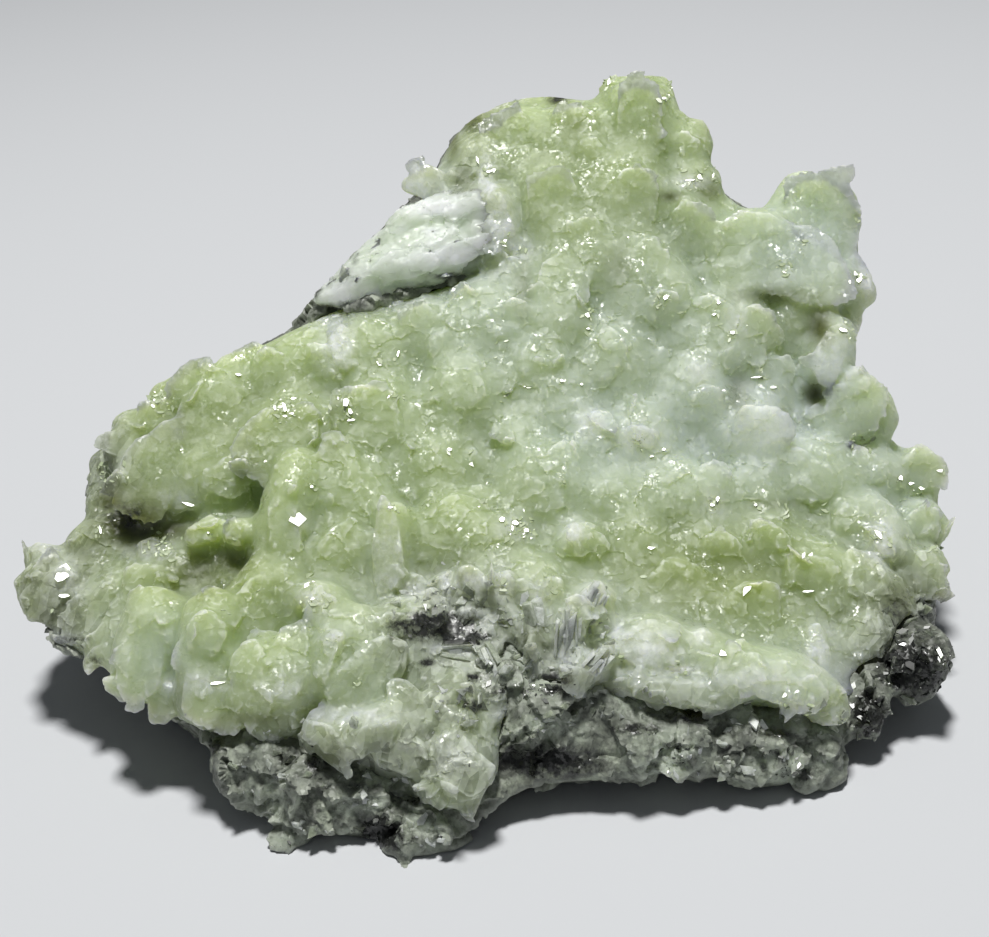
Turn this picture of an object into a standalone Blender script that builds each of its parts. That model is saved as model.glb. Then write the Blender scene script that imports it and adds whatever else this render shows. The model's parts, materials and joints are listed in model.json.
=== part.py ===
"""Prehnite cluster: a hand specimen of pale green prehnite on grey rock, with a white vein.

The crystals are measured on the specimen's front view, which looks down on it at an angle.
A place on that view is (across, up) in millimetres from the view's centre, and its depth
is in millimetres toward the viewer. Everything is then turned into metres, +Z up.
"""

import math
import random

import bmesh
import bpy
from mathutils import Matrix, Vector

MM = 0.001

# The front view
VIEW_TILT = math.radians(30.04)
VIEW_ROLL = math.radians(4.16)
EYE_DISTANCE = 177.8
VIEW_CENTRE = Vector((0.0, -11.9, 21.1))
# Moves the whole specimen so that its box is centred on the origin
CENTRING = Vector((1.62, 10.56, 0.0))

LOOK = Vector((0.0, math.cos(VIEW_TILT), -math.sin(VIEW_TILT)))
LEVEL_UP = Vector((0.0, math.sin(VIEW_TILT), math.cos(VIEW_TILT)))
LEVEL_RIGHT = Vector((1.0, 0.0, 0.0))
RIGHT = math.cos(VIEW_ROLL) * LEVEL_RIGHT - math.sin(VIEW_ROLL) * LEVEL_UP
UP = math.sin(VIEW_ROLL) * LEVEL_RIGHT + math.cos(VIEW_ROLL) * LEVEL_UP
EYE = VIEW_CENTRE - EYE_DISTANCE * LOOK

# The crust's face
FACE_DEPTH = 5.0
FACE_UPPER_SLOPE = -0.30
FACE_LOWER_SLOPE = -0.62
FACE_KNEE = -24.0
FACE_LEFT_BEND = -0.0042
FACE_RIGHT_BEND = -0.0030
# How far the crust fills up between its crystals, and how uneven that filling is
FACE_FILL = 0.8
FACE_RIPPLE = 0.5
# Crystals run on a little way under their neighbours
CRYSTAL_SPREAD = 1.1
# Edges shorter than the shapes need are merged until this share of the crust's triangles is left
CRUST_THINNING = 0.72
NODE_GAP = 0.3

# The grid that carries the crust's face, and the depths between which everything lies
GRID_STEP = 5.5
GRID_LEFT = -63.25
GRID_BOTTOM = -52.25
GRID_COLUMNS = 24
GRID_ROWS = 20
NEAR_DEPTH = 60.0
BACK_DEPTH = -75.0
# The ground under the specimen, which trims it flat
GROUND_SIDES = (-90.0, 90.0)
GROUND_BOTTOM = -40.0

# The specimen's outline on the front view, a little inside the crystals that edge it
OUTLINE = [
    (11.6, 40.6), (12.0, 43.5), (19.4, 43.7), (20.4, 40.0), (22.2, 37.0), (23.6, 33.6), (25.0, 30.6),
    (28.6, 28.2), (33.0, 29.6), (39.6, 31.4), (40.2, 26.0), (40.8, 19.0), (39.0, 12.0), (41.0, 8.0),
    (43.0, 4.0), (48.0, 0.0), (49.5, -5.0), (49.0, -13.0), (48.8, -19.0), (46.8, -24.0),
    (42.0, -26.0), (40.5, -29.5), (37.0, -33.5), (33.0, -34.5), (22.0, -34.0), (14.0, -34.0),
    (9.0, -34.5), (4.0, -35.5), (0.0, -37.0), (-3.0, -39.5), (-8.0, -42.0), (-15.0, -42.8),
    (-21.4, -43.6), (-23.5, -41.0), (-25.5, -38.5), (-28.5, -34.5), (-32.5, -29.5), (-40.0, -25.0),
    (-43.5, -22.2), (-48.0, -19.2), (-51.6, -16.0), (-51.4, -12.0), (-48.8, -9.0), (-45.4, -7.0),
    (-45.2, -2.0), (-43.6, 1.6), (-41.2, 5.4), (-36.5, 8.4), (-32.0, 10.4), (-27.0, 12.8),
    (-22.6, 15.4), (-17.0, 21.4), (-11.6, 27.4), (-7.0, 32.0), (-4.6, 37.0), (-1.0, 41.0), (6.0, 41.4),
]

# Where the crust ends on the front: crust above this line, bare rock below it
CRUST_EDGE = [
    (-60.0, -16.5), (-52.0, -16.5), (-42.5, -24.5), (-33.0, -30.0), (-28.5, -29.5), (-21.5, -31.0),
    (-16.5, -33.5), (-8.0, -37.5), (0.0, -33.0), (1.5, -25.0), (-1.0, -19.5), (-10.5, -19.0),
    (-10.5, -14.5), (-1.5, -14.0), (6.0, -23.0), (12.0, -24.5), (17.0, -26.0), (25.0, -25.5),
    (34.0, -27.5), (38.5, -25.5), (41.5, -21.5), (43.5, -14.5), (60.0, -14.5),
]
CRUST_THICKNESS = 8.0
CRUST_EDGE_SLOPE = 1.1
BARE_ROCK_LIFT = -6.0

# Corners of the rock's rough block: a base that rests flat, a wide waist, and a ridge with the front's top
BASE_RING = [
    (-25.0, -48.5), (-13.0, -48.0), (8.0, -37.0), (33.0, -32.0), (40.0, -8.0), (33.0, 14.0),
    (10.0, 22.0), (-18.0, 20.0), (-36.0, 4.0), (-37.0, -18.0),
]
WAIST_POINTS = [
    (-22.0, -51.0, 2.0), (-38.0, -36.0, 8.0), (-59.0, -16.0, 14.0), (-52.0, 3.0, 17.0), (-40.0, 15.0, 14.0),
    (-6.0, 29.0, 14.0), (24.0, 29.0, 14.0), (47.0, 17.0, 13.0), (54.0, -6.0, 11.0), (51.0, -28.0, 7.0),
    (42.0, -48.0, 8.0), (28.0, -56.0, 5.5),
]
RIDGE_POINTS = [
    (-42.0, 6.0, 26.0), (-30.0, 12.0, 33.0), (-14.0, 17.0, 42.0), (-3.0, 21.0, 50.0), (17.0, 23.0, 57.0),
    (24.0, 22.0, 55.0), (42.0, 15.0, 49.0), (47.0, 10.0, 42.0), (30.0, -60.0, 20.0), (-30.0, -55.0, 20.0),
    (55.0, -12.0, 22.0), (-58.0, -14.0, 20.0),
]


def start_clean():
    for old in list(bpy.data.objects):
        bpy.data.objects.remove(old, do_unlink=True)


def make_material(name, colour, roughness):
    material = bpy.data.materials.new(name)
    material.use_nodes = True
    shader = material.node_tree.nodes["Principled BSDF"]
    shader.inputs["Base Color"].default_value = (*colour, 1.0)
    shader.inputs["Roughness"].default_value = roughness
    shader.inputs["Metallic"].default_value = 0.0
    return material


def spot(across, up, depth):
    """The place in metres of a point seen at (across, up), depth millimetres before the view's centre."""
    on_plane = VIEW_CENTRE + across * RIGHT + up * UP
    reach = (EYE_DISTANCE - depth) / EYE_DISTANCE
    return (EYE + (on_plane - EYE) * reach + CENTRING) * MM


def face_depth(across, up):
    """How far the crust's general face stands toward the viewer."""
    slope = FACE_UPPER_SLOPE if up > 0.0 else FACE_LOWER_SLOPE
    bend = FACE_LEFT_BEND if across < 0.0 else FACE_RIGHT_BEND
    return FACE_DEPTH + slope * max(up, FACE_KNEE) + bend * across * across


def filled_depth(across, up):
    """The uneven surface that shows between the crystals."""
    ripple = math.sin(0.9 * across + 1.3 * up) * math.sin(1.1 * across - 0.7 * up)
    return face_depth(across, up) + FACE_FILL + FACE_RIPPLE * ripple


def mesh_object(name, work):
    """Closes off a bmesh as an object of its own."""
    bmesh.ops.recalc_face_normals(work, faces=work.faces)
    mesh = bpy.data.meshes.new(name)
    work.to_mesh(mesh)
    work.free()
    made = bpy.data.objects.new(name, mesh)
    bpy.context.scene.collection.objects.link(made)
    return made


def apply_boolean(target, tool, operation):
    """Cuts or joins target with tool for good, and removes the tool.

    The exact solver leaves open edges where so many crystals cross, so this uses the manifold one.
    """
    step = target.modifiers.new(operation, "BOOLEAN")
    step.operation = operation
    step.solver = "MANIFOLD"
    step.object = tool
    graph = bpy.context.evaluated_depsgraph_get()
    result = bpy.data.meshes.new_from_object(target.evaluated_get(graph))
    target.modifiers.clear()
    target.data = result
    bpy.data.objects.remove(tool, do_unlink=True)


def ring_solid(name, rings):
    """A closed solid skinned over rings of equal point counts, capped at both ends."""
    work = bmesh.new()
    loops = [[work.verts.new(point) for point in ring] for ring in rings]
    count = len(rings[0])
    for near, far in zip(loops, loops[1:]):
        for i in range(count):
            j = (i + 1) % count
            work.faces.new((near[i], near[j], far[j], far[i]))
    work.faces.new(loops[0])
    work.faces.new(loops[-1])
    bmesh.ops.triangulate(work, faces=work.faces)
    return mesh_object(name, work)


def hull_solid(name, points):
    """The convex block around a set of points."""
    work = bmesh.new()
    for point in points:
        work.verts.new(point)
    hull = bmesh.ops.convex_hull(work, input=work.verts)
    loose = [v for v in hull["geom_interior"] if isinstance(v, bmesh.types.BMVert)]
    bmesh.ops.delete(work, geom=loose, context="VERTS")
    bmesh.ops.triangulate(work, faces=work.faces)
    return mesh_object(name, work)


def sight_prism(name, outline, near_depth, far_depth):
    """The outline swept along the lines of sight, so that it is exactly the shape seen from the eye."""
    near = [spot(across, up, near_depth) for across, up in outline]
    far = [spot(across, up, far_depth) for across, up in outline]
    return ring_solid(name, [near, far])


def sheet_solid(name, front_depth, back_depth):
    """A block with a relief front: front_depth gives the depth at every grid point of the view."""
    columns = [GRID_LEFT + GRID_STEP * i for i in range(GRID_COLUMNS)]
    rows = [GRID_BOTTOM + GRID_STEP * j for j in range(GRID_ROWS)]
    sides = (columns[0], columns[-1])
    ends = (rows[0], rows[-1])
    work = bmesh.new()
    front = [[work.verts.new(spot(a, u, front_depth(a, u))) for u in rows] for a in columns]
    back = [[work.verts.new(spot(a, u, back_depth)) for u in ends] for a in sides]
    for i in range(len(columns) - 1):
        for j in range(len(rows) - 1):
            corner = (front[i][j], front[i + 1][j], front[i + 1][j + 1], front[i][j + 1])
            if (i + j) % 2:
                work.faces.new((corner[0], corner[1], corner[2]))
                work.faces.new((corner[0], corner[2], corner[3]))
            else:
                work.faces.new((corner[0], corner[1], corner[3]))
                work.faces.new((corner[1], corner[2], corner[3]))
    work.faces.new((back[0][0], back[0][1], back[1][1], back[1][0]))
    work.faces.new([column[0] for column in front] + [back[1][0], back[0][0]])
    work.faces.new([column[-1] for column in front] + [back[1][1], back[0][1]])
    work.faces.new(front[0] + [back[0][1], back[0][0]])
    work.faces.new(front[-1] + [back[1][1], back[1][0]])
    bmesh.ops.triangulate(work, faces=work.faces)
    return mesh_object(name, work)


def point_in_outline(outline, across, up):
    inside = False
    for (ax, ay), (bx, by) in zip(outline, outline[1:] + outline[:1]):
        if (ax <= across) != (bx <= across):
            inside ^= up > ay + (across - ax) / (bx - ax) * (by - ay)
    return inside


def distance_above_edge(across, up):
    """How far a place lies inside the crust's edge line; negative on the bare rock below it."""
    here = Vector((across, up))
    nearest = 1000.0
    above = False
    for start, end in zip(CRUST_EDGE, CRUST_EDGE[1:]):
        a = Vector(start)
        b = Vector(end)
        along = max(0.0, min(1.0, (here - a).dot(b - a) / (b - a).length_squared))
        nearest = min(nearest, (here - a - along * (b - a)).length)
        if (a.x <= across) != (b.x <= across):
            crossing = a.y + (across - a.x) / (b.x - a.x) * (b.y - a.y)
            above ^= up > crossing
    return nearest if above else -nearest


def bedding_depth(across, up):
    """Depth of the surface between the crust and the rock."""
    inside = distance_above_edge(across, up)
    thickness = max(BARE_ROCK_LIFT, min(CRUST_THICKNESS, CRUST_EDGE_SLOPE * inside))
    if point_in_outline(VEIN_POCKET, across, up):
        thickness = VEIN_THICKNESS
    return face_depth(across, up) - thickness


def crystal_frame(turn, pitch):
    """Axes of a crystal: y runs to its outer end, z out of its face. A positive pitch lifts the outer end."""
    level = Matrix((RIGHT, UP, -LOOK)).transposed()
    return level @ Matrix.Rotation(math.radians(turn), 3, "Z") @ Matrix.Rotation(math.radians(pitch), 3, "X")


def crystal(name, shape, across, up, wide, tall, rise, turn, pitch):
    """One crystal: its shape gives rings as (scale, height), and how the rim narrows, scallops and squares."""
    dice = random.Random(name)
    axes = crystal_frame(turn, pitch)
    centre = spot(across, up, face_depth(across, up) + rise)
    bulk = min(wide, tall)
    points = shape["points"]
    rim = []
    for i in range(points):
        angle = math.tau * (i + dice.uniform(-0.5, 0.5) * shape["jitter"]) / points
        x = math.sin(angle)
        y = math.cos(angle)
        reach = (abs(x) ** shape["square"] + abs(y) ** shape["square"]) ** (-1.0 / shape["square"])
        reach *= 1.0 - dice.uniform(0.0, 0.3) * shape["jitter"] - (shape["scallop"] if i % 2 else 0.0)
        narrowing = 1.0 - shape["taper"] * (0.5 - 0.5 * y)
        rim.append(Vector((x * wide * reach * narrowing, y * tall * reach, 0.0)))
    rings = []
    for scale, height in shape["rings"]:
        shift = Vector((dice.uniform(-0.15, 0.15) * wide, dice.uniform(-0.15, 0.15) * tall, 0.0)) * (1.0 - scale)
        ring = []
        for point in rim:
            lift = height * bulk * dice.uniform(0.8, 1.2)
            local = point * scale + shift + Vector((0.0, 0.0, lift))
            ring.append(centre + axes @ local * MM)
        rings.append(ring)
    return ring_solid(name, rings)


LOBE = {
    "points": 7, "jitter": 0.5, "scallop": 0.0, "square": 2.3, "taper": 0.2,
    "rings": [(0.75, -1.4), (1.0, -0.05), (0.58, 0.4)],
}
FAN = {
    "points": 10, "jitter": 0.35, "scallop": 0.1, "square": 2.4, "taper": 0.35,
    "rings": [(0.7, -1.1), (1.0, 0.0), (0.6, 0.3)],
}
TONGUE = {
    "points": 8, "jitter": 0.2, "scallop": 0.0, "square": 3.4, "taper": 0.15,
    "rings": [(0.8, -1.5), (1.0, 0.0), (0.62, 0.55)],
}
BLADE = {
    "points": 6, "jitter": 0.25, "scallop": 0.0, "square": 3.0, "taper": 0.25,
    "rings": [(0.8, -1.6), (1.0, 0.0), (0.72, 0.85)],
}
STUB = {
    "points": 6, "jitter": 0.5, "scallop": 0.0, "square": 2.4, "taper": 0.2,
    "rings": [(0.7, -1.3), (1.0, 0.05), (0.5, 0.5)],
}

# The crust's crystals, region by region: shape, across, up, half width, half length, rise, turn, pitch.
# A turn of 0 points the outer end up the view, 90 to its left, 180 down it and 270 to its right.
CREST = [
    (TONGUE, 16.0, 37.4, 3.9, 6.6, 0.6, 0, -8),
    (LOBE, 9.0, 36.0, 5.4, 5.4, -0.8, 20, -12),
    (FAN, 3.6, 36.2, 5.2, 5.2, -1.2, 30, -14),
    (LOBE, -1.2, 33.6, 4.6, 5.0, -1.6, 60, -16),
    (FAN, 20.4, 35.0, 4.4, 5.6, -0.4, 320, -12),
    (LOBE, 21.8, 31.0, 4.4, 4.4, -0.2, 290, -10),
    (FAN, 14.6, 31.0, 6.8, 5.6, 1.6, 185, 12),
    (FAN, 6.6, 29.6, 6.6, 5.6, 0.6, 170, 12),
    (FAN, 21.0, 27.4, 5.4, 4.6, 0.8, 200, 14),
    (TONGUE, -7.2, 31.0, 2.4, 3.8, -1.0, 95, -6),
    (FAN, 9.6, 23.8, 6.6, 5.6, 1.2, 180, 16),
    (LOBE, 14.8, 25.4, 4.4, 4.2, 1.0, 190, 10),
]
WING = [
    (FAN, 35.0, 28.0, 6.2, 5.8, 0.6, 350, -6),
    (FAN, 38.0, 26.4, 3.6, 6.4, 1.0, 350, -8),
    (FAN, 28.8, 25.0, 6.4, 4.4, 1.2, 30, 6),
    (FAN, 35.0, 21.2, 6.0, 5.2, 2.6, 200, 16),
    (FAN, 38.8, 20.8, 3.2, 4.8, 1.6, 240, 0),
    (FAN, 27.4, 22.4, 5.6, 4.0, 1.8, 175, 22),
    (TONGUE, 37.6, 12.8, 2.9, 4.6, 3.2, 172, 10),
]
RIGHT_SIDE = [
    (FAN, 40.2, 5.6, 5.2, 5.0, 1.8, 300, 8),
    (LOBE, 36.0, 8.4, 3.6, 3.2, -0.6, 0, 0),
    (FAN, 35.2, -0.2, 6.8, 4.6, 1.8, 185, 16),
    (FAN, 46.8, -0.8, 3.8, 3.6, 1.0, 300, 2),
    (LOBE, 42.6, -1.0, 4.4, 4.0, 1.2, 200, 8),
    (FAN, 41.0, -6.6, 5.8, 4.6, 1.4, 190, 14),
    (BLADE, 44.0, -8.6, 1.9, 3.0, 2.2, 60, 6),
    (LOBE, 47.6, -6.4, 3.4, 3.6, 0.6, 280, -10),
    (LOBE, 47.4, -11.6, 3.6, 3.6, 0.6, 270, -10),
    (FAN, 36.2, -12.6, 6.4, 5.0, 0.8, 190, 16),
    (LOBE, 42.4, -14.6, 4.6, 4.8, 0.8, 210, 6),
    (LOBE, 41.6, -19.4, 4.2, 4.4, 0.2, 190, 4),
]
MIDDLE = [
    (FAN, 0.4, 21.4, 5.6, 3.8, 0.4, 160, 10),
    (FAN, -0.8, 16.6, 6.2, 4.8, 1.2, 170, 16),
    (FAN, 17.0, 20.0, 7.4, 6.2, 1.2, 185, 14),
    (FAN, 6.6, 17.4, 5.8, 5.2, 1.4, 175, 16),
    (FAN, 25.6, 15.6, 7.6, 5.6, 1.4, 190, 14),
    (LOBE, 33.0, 15.0, 4.6, 4.8, -0.4, 180, 6),
    (FAN, 5.0, 11.4, 5.8, 4.6, 1.2, 175, 14),
    (FAN, 13.4, 12.4, 5.6, 5.0, 1.2, 180, 14),
    (LOBE, 9.0, 7.0, 4.4, 4.0, 0.8, 170, 12),
    (FAN, 22.4, 9.0, 4.8, 4.8, 1.8, 185, 12),
    (LOBE, 29.6, 9.4, 4.8, 3.8, 0.6, 180, 12),
    (FAN, 28.6, 4.6, 5.6, 4.4, 2.0, 160, 16),
    (FAN, 16.6, 4.4, 4.4, 3.8, 1.8, 185, 16),
    (LOBE, 11.4, 3.6, 3.4, 3.2, 1.8, 190, 12),
    (FAN, 21.0, -2.6, 5.2, 4.8, 1.6, 215, 14),
    (FAN, 28.8, -2.8, 5.2, 4.2, 1.2, 180, 16),
    (LOBE, 31.0, -8.4, 4.4, 4.0, 0.8, 190, 12),
    (FAN, 5.4, -2.2, 7.0, 6.4, 1.4, 180, 12),
    (LOBE, 13.2, -3.2, 4.8, 4.4, 0.8, 180, 12),
    (FAN, 0.2, -9.4, 5.6, 5.0, 1.0, 180, 10),
    (LOBE, 3.6, 4.4, 4.6, 4.2, 0.8, 175, 10),
    (LOBE, 17.6, -3.6, 4.0, 4.0, 0.6, 180, 8),
    (STUB, 9.4, -8.0, 2.6, 2.8, 2.4, 160, 10),
    (FAN, 15.6, -9.2, 6.0, 5.0, 0.0, 185, 10),
    (LOBE, 24.0, -10.6, 6.4, 5.6, -1.4, 180, 6),
    (LOBE, 25.8, -16.0, 6.4, 4.4, -1.2, 180, 0),
]
LEFT_SIDE = [
    (STUB, -24.8, 12.2, 3.0, 2.6, 0.4, 60, -6),
    (LOBE, -33.4, 9.2, 3.8, 3.4, -0.6, 30, -8),
    (FAN, -20.6, 11.4, 5.4, 4.4, 1.0, 150, 14),
    (FAN, -13.4, 13.0, 6.2, 4.6, 1.0, 170, 14),
    (FAN, -6.4, 15.4, 5.8, 4.0, 0.8, 170, 12),
    (FAN, -29.4, 7.0, 8.2, 6.0, 1.2, 150, 12),
    (FAN, -37.0, 3.4, 5.6, 7.2, 1.8, 120, 8),
    (FAN, -37.6, -1.6, 5.4, 5.0, 3.0, 150, 14),
    (FAN, -31.0, 0.6, 5.8, 5.4, 2.8, 160, 18),
    (FAN, -22.6, 3.2, 7.2, 6.4, 2.4, 165, 16),
    (FAN, -12.8, 5.0, 7.4, 6.2, 1.8, 180, 14),
    (FAN, -3.4, 8.6, 6.0, 5.6, 1.4, 175, 14),
    (FAN, -15.4, -2.6, 6.8, 5.4, 2.4, 175, 18),
    (LOBE, -6.2, 0.0, 5.6, 5.0, 1.4, 180, 12),
    (TONGUE, -23.0, -5.0, 3.4, 7.6, 3.8, 168, 6),
    (STUB, -32.0, -7.4, 2.8, 2.4, 2.0, 180, 4),
    (STUB, -28.2, -7.2, 2.5, 2.3, 2.8, 190, 4),
    (TONGUE, -11.4, -8.8, 2.2, 5.6, 2.8, 176, 6),
    (FAN, -4.6, -7.4, 5.8, 5.6, 1.4, 180, 14),
    (LOBE, -17.2, -9.6, 5.2, 4.8, 0.8, 180, 8),
]
LOWER_LEFT = [
    (LOBE, -48.8, -14.0, 4.8, 5.0, 0.4, 80, -8),
    (STUB, -50.2, -10.2, 2.4, 2.6, 0.2, 60, -10),
    (LOBE, -44.0, -8.4, 3.6, 5.2, -0.6, 120, -4),
    (LOBE, -43.6, -15.6, 3.8, 5.0, -0.6, 150, 0),
    (STUB, -43.2, 0.2, 2.4, 2.6, 0.4, 90, -10),
    (STUB, -43.6, -4.0, 2.2, 2.4, 0.0, 90, -10),
    (STUB, -40.6, 5.0, 2.2, 2.6, -0.6, 70, -10),
    (STUB, -36.6, 8.0, 2.2, 2.6, -1.0, 40, -10),
    (LOBE, -35.2, -12.6, 5.8, 4.8, -1.4, 170, 6),
    (TONGUE, -38.4, -20.0, 4.2, 6.4, 1.8, 170, 2),
    (TONGUE, -31.4, -21.0, 4.0, 7.0, 2.4, 178, 4),
    (FAN, -25.0, -15.2, 6.4, 6.2, 1.4, 175, 12),
    (BLADE, -19.0, -14.4, 2.0, 3.2, 3.2, 80, 6),
    (FAN, -24.6, -24.2, 5.4, 5.6, 1.8, 180, 10),
    (FAN, -16.6, -21.4, 6.2, 6.4, 1.4, 180, 10),
    (LOBE, -9.6, -19.6, 4.6, 5.6, 0.4, 175, 6),
    (BLADE, -13.8, -28.6, 2.6, 6.0, 2.0, 112, 4),
    (BLADE, -9.6, -31.6, 2.6, 5.2, 1.4, 66, 2),
    (TONGUE, -3.8, -33.2, 4.4, 4.2, 1.8, 172, 0),
    (LOBE, -4.4, -27.4, 4.4, 4.4, 0.6, 180, 4),
]
LOWER_RIGHT = [
    (BLADE, -2.0, -12.8, 1.8, 3.2, 1.8, 100, 6),
    (LOBE, 4.2, -13.8, 5.0, 4.4, 0.8, 180, 6),
    (BLADE, 11.4, -14.8, 2.4, 2.6, 2.0, 160, 8),
    (LOBE, 9.8, -18.0, 4.2, 4.4, 0.2, 180, 2),
    (BLADE, 8.6, -19.8, 1.4, 4.4, 1.4, 174, 0),
    (BLADE, 4.6, -19.4, 1.5, 4.2, 1.0, 188, 0),
    (BLADE, 11.4, -21.8, 1.3, 3.1, 2.0, 132, 4),
    (FAN, 17.4, -19.2, 5.0, 3.6, 2.0, 182, 18),
    (FAN, 23.0, -20.4, 4.4, 3.2, 1.8, 178, 18),
    (BLADE, 29.8, -22.6, 3.0, 8.6, 1.8, 256, 6),
    (BLADE, 35.6, -26.0, 2.2, 4.6, 1.6, 238, 4),
    (BLADE, 20.0, -24.6, 2.0, 7.4, 1.0, 264, 2),
]
CRUST = CREST + WING + RIGHT_SIDE + MIDDLE + LEFT_SIDE + LOWER_LEFT + LOWER_RIGHT

# The white vein's outline, the pocket it lies in with its dark seam, and its broken slabs
VEIN = [
    (-19.6, 18.6), (-12.0, 19.8), (-7.0, 21.2), (0.4, 23.6), (2.6, 26.0), (2.4, 31.2),
    (-2.6, 31.4), (-7.0, 29.4), (-10.0, 28.2), (-11.6, 26.2), (-14.4, 23.9), (-16.4, 21.6),
]
VEIN_POCKET = [
    (-26.0, 13.6), (-18.0, 17.4), (-10.0, 18.8), (-5.0, 20.2), (0.8, 22.6), (3.0, 25.8),
    (2.8, 31.6), (-2.8, 31.9), (-7.2, 29.9), (-11.6, 31.0), (-22.0, 23.0), (-28.0, 15.0),
]
VEIN_THICKNESS = 5.0
VEIN_SLABS = [
    (BLADE, -9.6, 26.6, 2.0, 4.4, 0.0, 140, -4),
    (BLADE, -4.0, 28.6, 1.8, 4.2, 0.2, 110, -2),
    (BLADE, -6.8, 23.4, 2.0, 5.4, 0.2, 112, 4),
    (BLADE, -13.4, 21.8, 1.8, 4.2, 0.0, 118, 0),
    (BLADE, 0.4, 28.2, 1.4, 3.2, 0.6, 10, 0),
    (BLADE, -0.8, 25.2, 1.6, 3.0, 0.4, 70, 0),
]

# Knobs and broken lumps of the bare rock, seen from the front
ROCK_LUMPS = [
    (LOBE, 47.0, -20.6, 4.4, 5.6, 1.8, 200, -4),
    (STUB, 41.6, -27.4, 2.6, 3.0, 0.8, 200, -8),
    (TONGUE, 16.4, -31.0, 3.8, 3.4, 0.6, 180, -10),
    (TONGUE, 22.0, -30.8, 3.6, 3.6, 0.4, 185, -10),
    (TONGUE, 29.0, -31.4, 4.6, 3.8, 0.8, 175, -10),
    (TONGUE, 35.6, -32.4, 3.0, 4.2, 0.8, 200, -8),
    (TONGUE, -26.4, -33.0, 3.2, 4.6, 0.6, 110, -6),
    (TONGUE, -20.0, -36.6, 3.8, 3.6, 0.8, 180, -6),
    (TONGUE, -22.2, -41.2, 2.4, 3.8, 0.8, 190, -4),
    (LOBE, -12.6, -36.8, 4.4, 3.0, 0.8, 180, -4),
    (BLADE, -8.0, -41.8, 1.8, 5.0, 1.0, 100, 0),
    (STUB, -13.4, 24.6, 1.6, 2.4, 0.6, 40, -10),
    (STUB, -17.8, 20.2, 1.6, 2.6, 0.6, 40, -10),
    (BLADE, -47.4, -18.8, 1.8, 4.0, -0.8, 60, -8),
    (TONGUE, 4.0, -25.6, 3.4, 4.6, 0.2, 200, -4),
    (LOBE, 7.0, -30.6, 4.4, 3.6, -2.6, 180, -10),
]

# Steps broken out of the hidden sides: centre across, back and up, half size, turn about Z, tip about X
HIDDEN_STEPS = [
    (2.0, 40.0, 55.0, 18.0, 14, 16),
    (-30.0, 32.0, 40.0, 15.0, 30, -14),
    (42.0, 35.0, 40.0, 15.0, -22, 20),
    (-44.0, 21.0, 20.0, 14.0, 40, 12),
    (4.0, 35.0, 0.0, 13.0, -10, 26),
    (49.0, 25.0, 12.0, 14.0, -38, -10),
    (61.0, -6.0, 0.0, 14.0, 14, 20),
    (-60.0, 0.0, 0.0, 14.0, -16, 16),
    (-14.0, 44.0, 26.0, 17.0, 24, 10),
]


def grown_together(body, crystals, prefix):
    """Joins crystals onto a body, one after another."""
    for number, (shape, across, up, wide, tall, *pose) in enumerate(crystals):
        piece = crystal(f"{prefix}_{number}", shape, across, up, wide * CRYSTAL_SPREAD, tall * CRYSTAL_SPREAD, *pose)
        apply_boolean(body, piece, "UNION")
    return body


def broken_step(name, x, y, z, size, turn, tip):
    """A block whose corner or edge bites into a side that is hidden from the front."""
    pose = Matrix.Rotation(math.radians(turn), 3, "Z") @ Matrix.Rotation(math.radians(tip), 3, "X")
    corners = [Vector((i, j, k)) * size for i in (-1, 1) for j in (-1, 1) for k in (-1, 1)]
    centre = Vector((x, y, z)) + CENTRING
    return hull_solid(name, [(centre + pose @ corner) * MM for corner in corners])


def outline_block(name):
    """The rough block with its hidden sides, cut to the outline seen from the front."""
    corners = [Vector((x, y, 0.0)) for x, y in BASE_RING]
    corners += [Vector(point) for point in WAIST_POINTS + RIDGE_POINTS]
    block = hull_solid(name, [(corner + CENTRING) * MM for corner in corners])
    for number, row in enumerate(HIDDEN_STEPS):
        apply_boolean(block, broken_step(f"step_{number}", *row), "DIFFERENCE")
    apply_boolean(block, sight_prism("outline", OUTLINE, NEAR_DEPTH, BACK_DEPTH), "INTERSECT")
    apply_boolean(block, sheet_solid("face", filled_depth, BACK_DEPTH), "INTERSECT")
    return block


def bedding_sheet(offset):
    """The solid below the surface between crust and rock, moved up or down by an offset."""
    return sheet_solid("bedding", lambda across, up: bedding_depth(across, up) + offset, BACK_DEPTH)


def vein_pocket():
    return sight_prism("pocket", VEIN_POCKET, NEAR_DEPTH, BACK_DEPTH)


def rest_flat(piece):
    """Cuts off whatever would stand below the surface that the specimen rests on."""
    ground = [Vector((x, y, z)) for x in GROUND_SIDES for y in GROUND_SIDES for z in (GROUND_BOTTOM, 0.0)]
    apply_boolean(piece, hull_solid("ground", [corner * MM for corner in ground]), "DIFFERENCE")


def keep_outer_shell(piece):
    """Drops chips that were cut loose, and the walls of hollows sealed between crystals."""
    work = bmesh.new()
    work.from_mesh(piece.data)
    waiting = set(work.verts)
    shells = []
    while waiting:
        front = [waiting.pop()]
        shell = list(front)
        while front:
            here = front.pop()
            fresh = {edge.other_vert(here) for edge in here.link_edges} & waiting
            waiting -= fresh
            front.extend(fresh)
            shell.extend(fresh)
        shells.append(shell)
    shells.sort(key=len)
    loose = [vert for shell in shells[:-1] for vert in shell]
    bmesh.ops.delete(work, geom=loose, context="VERTS")
    work.to_mesh(piece.data)
    work.free()


def thin_out(piece, share):
    """Merges the shortest edges that the joins leave, until this share of the triangles is left."""
    step = piece.modifiers.new("thin_out", "DECIMATE")
    step.ratio = share
    graph = bpy.context.evaluated_depsgraph_get()
    result = bpy.data.meshes.new_from_object(piece.evaluated_get(graph))
    piece.modifiers.clear()
    piece.data = result


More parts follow.
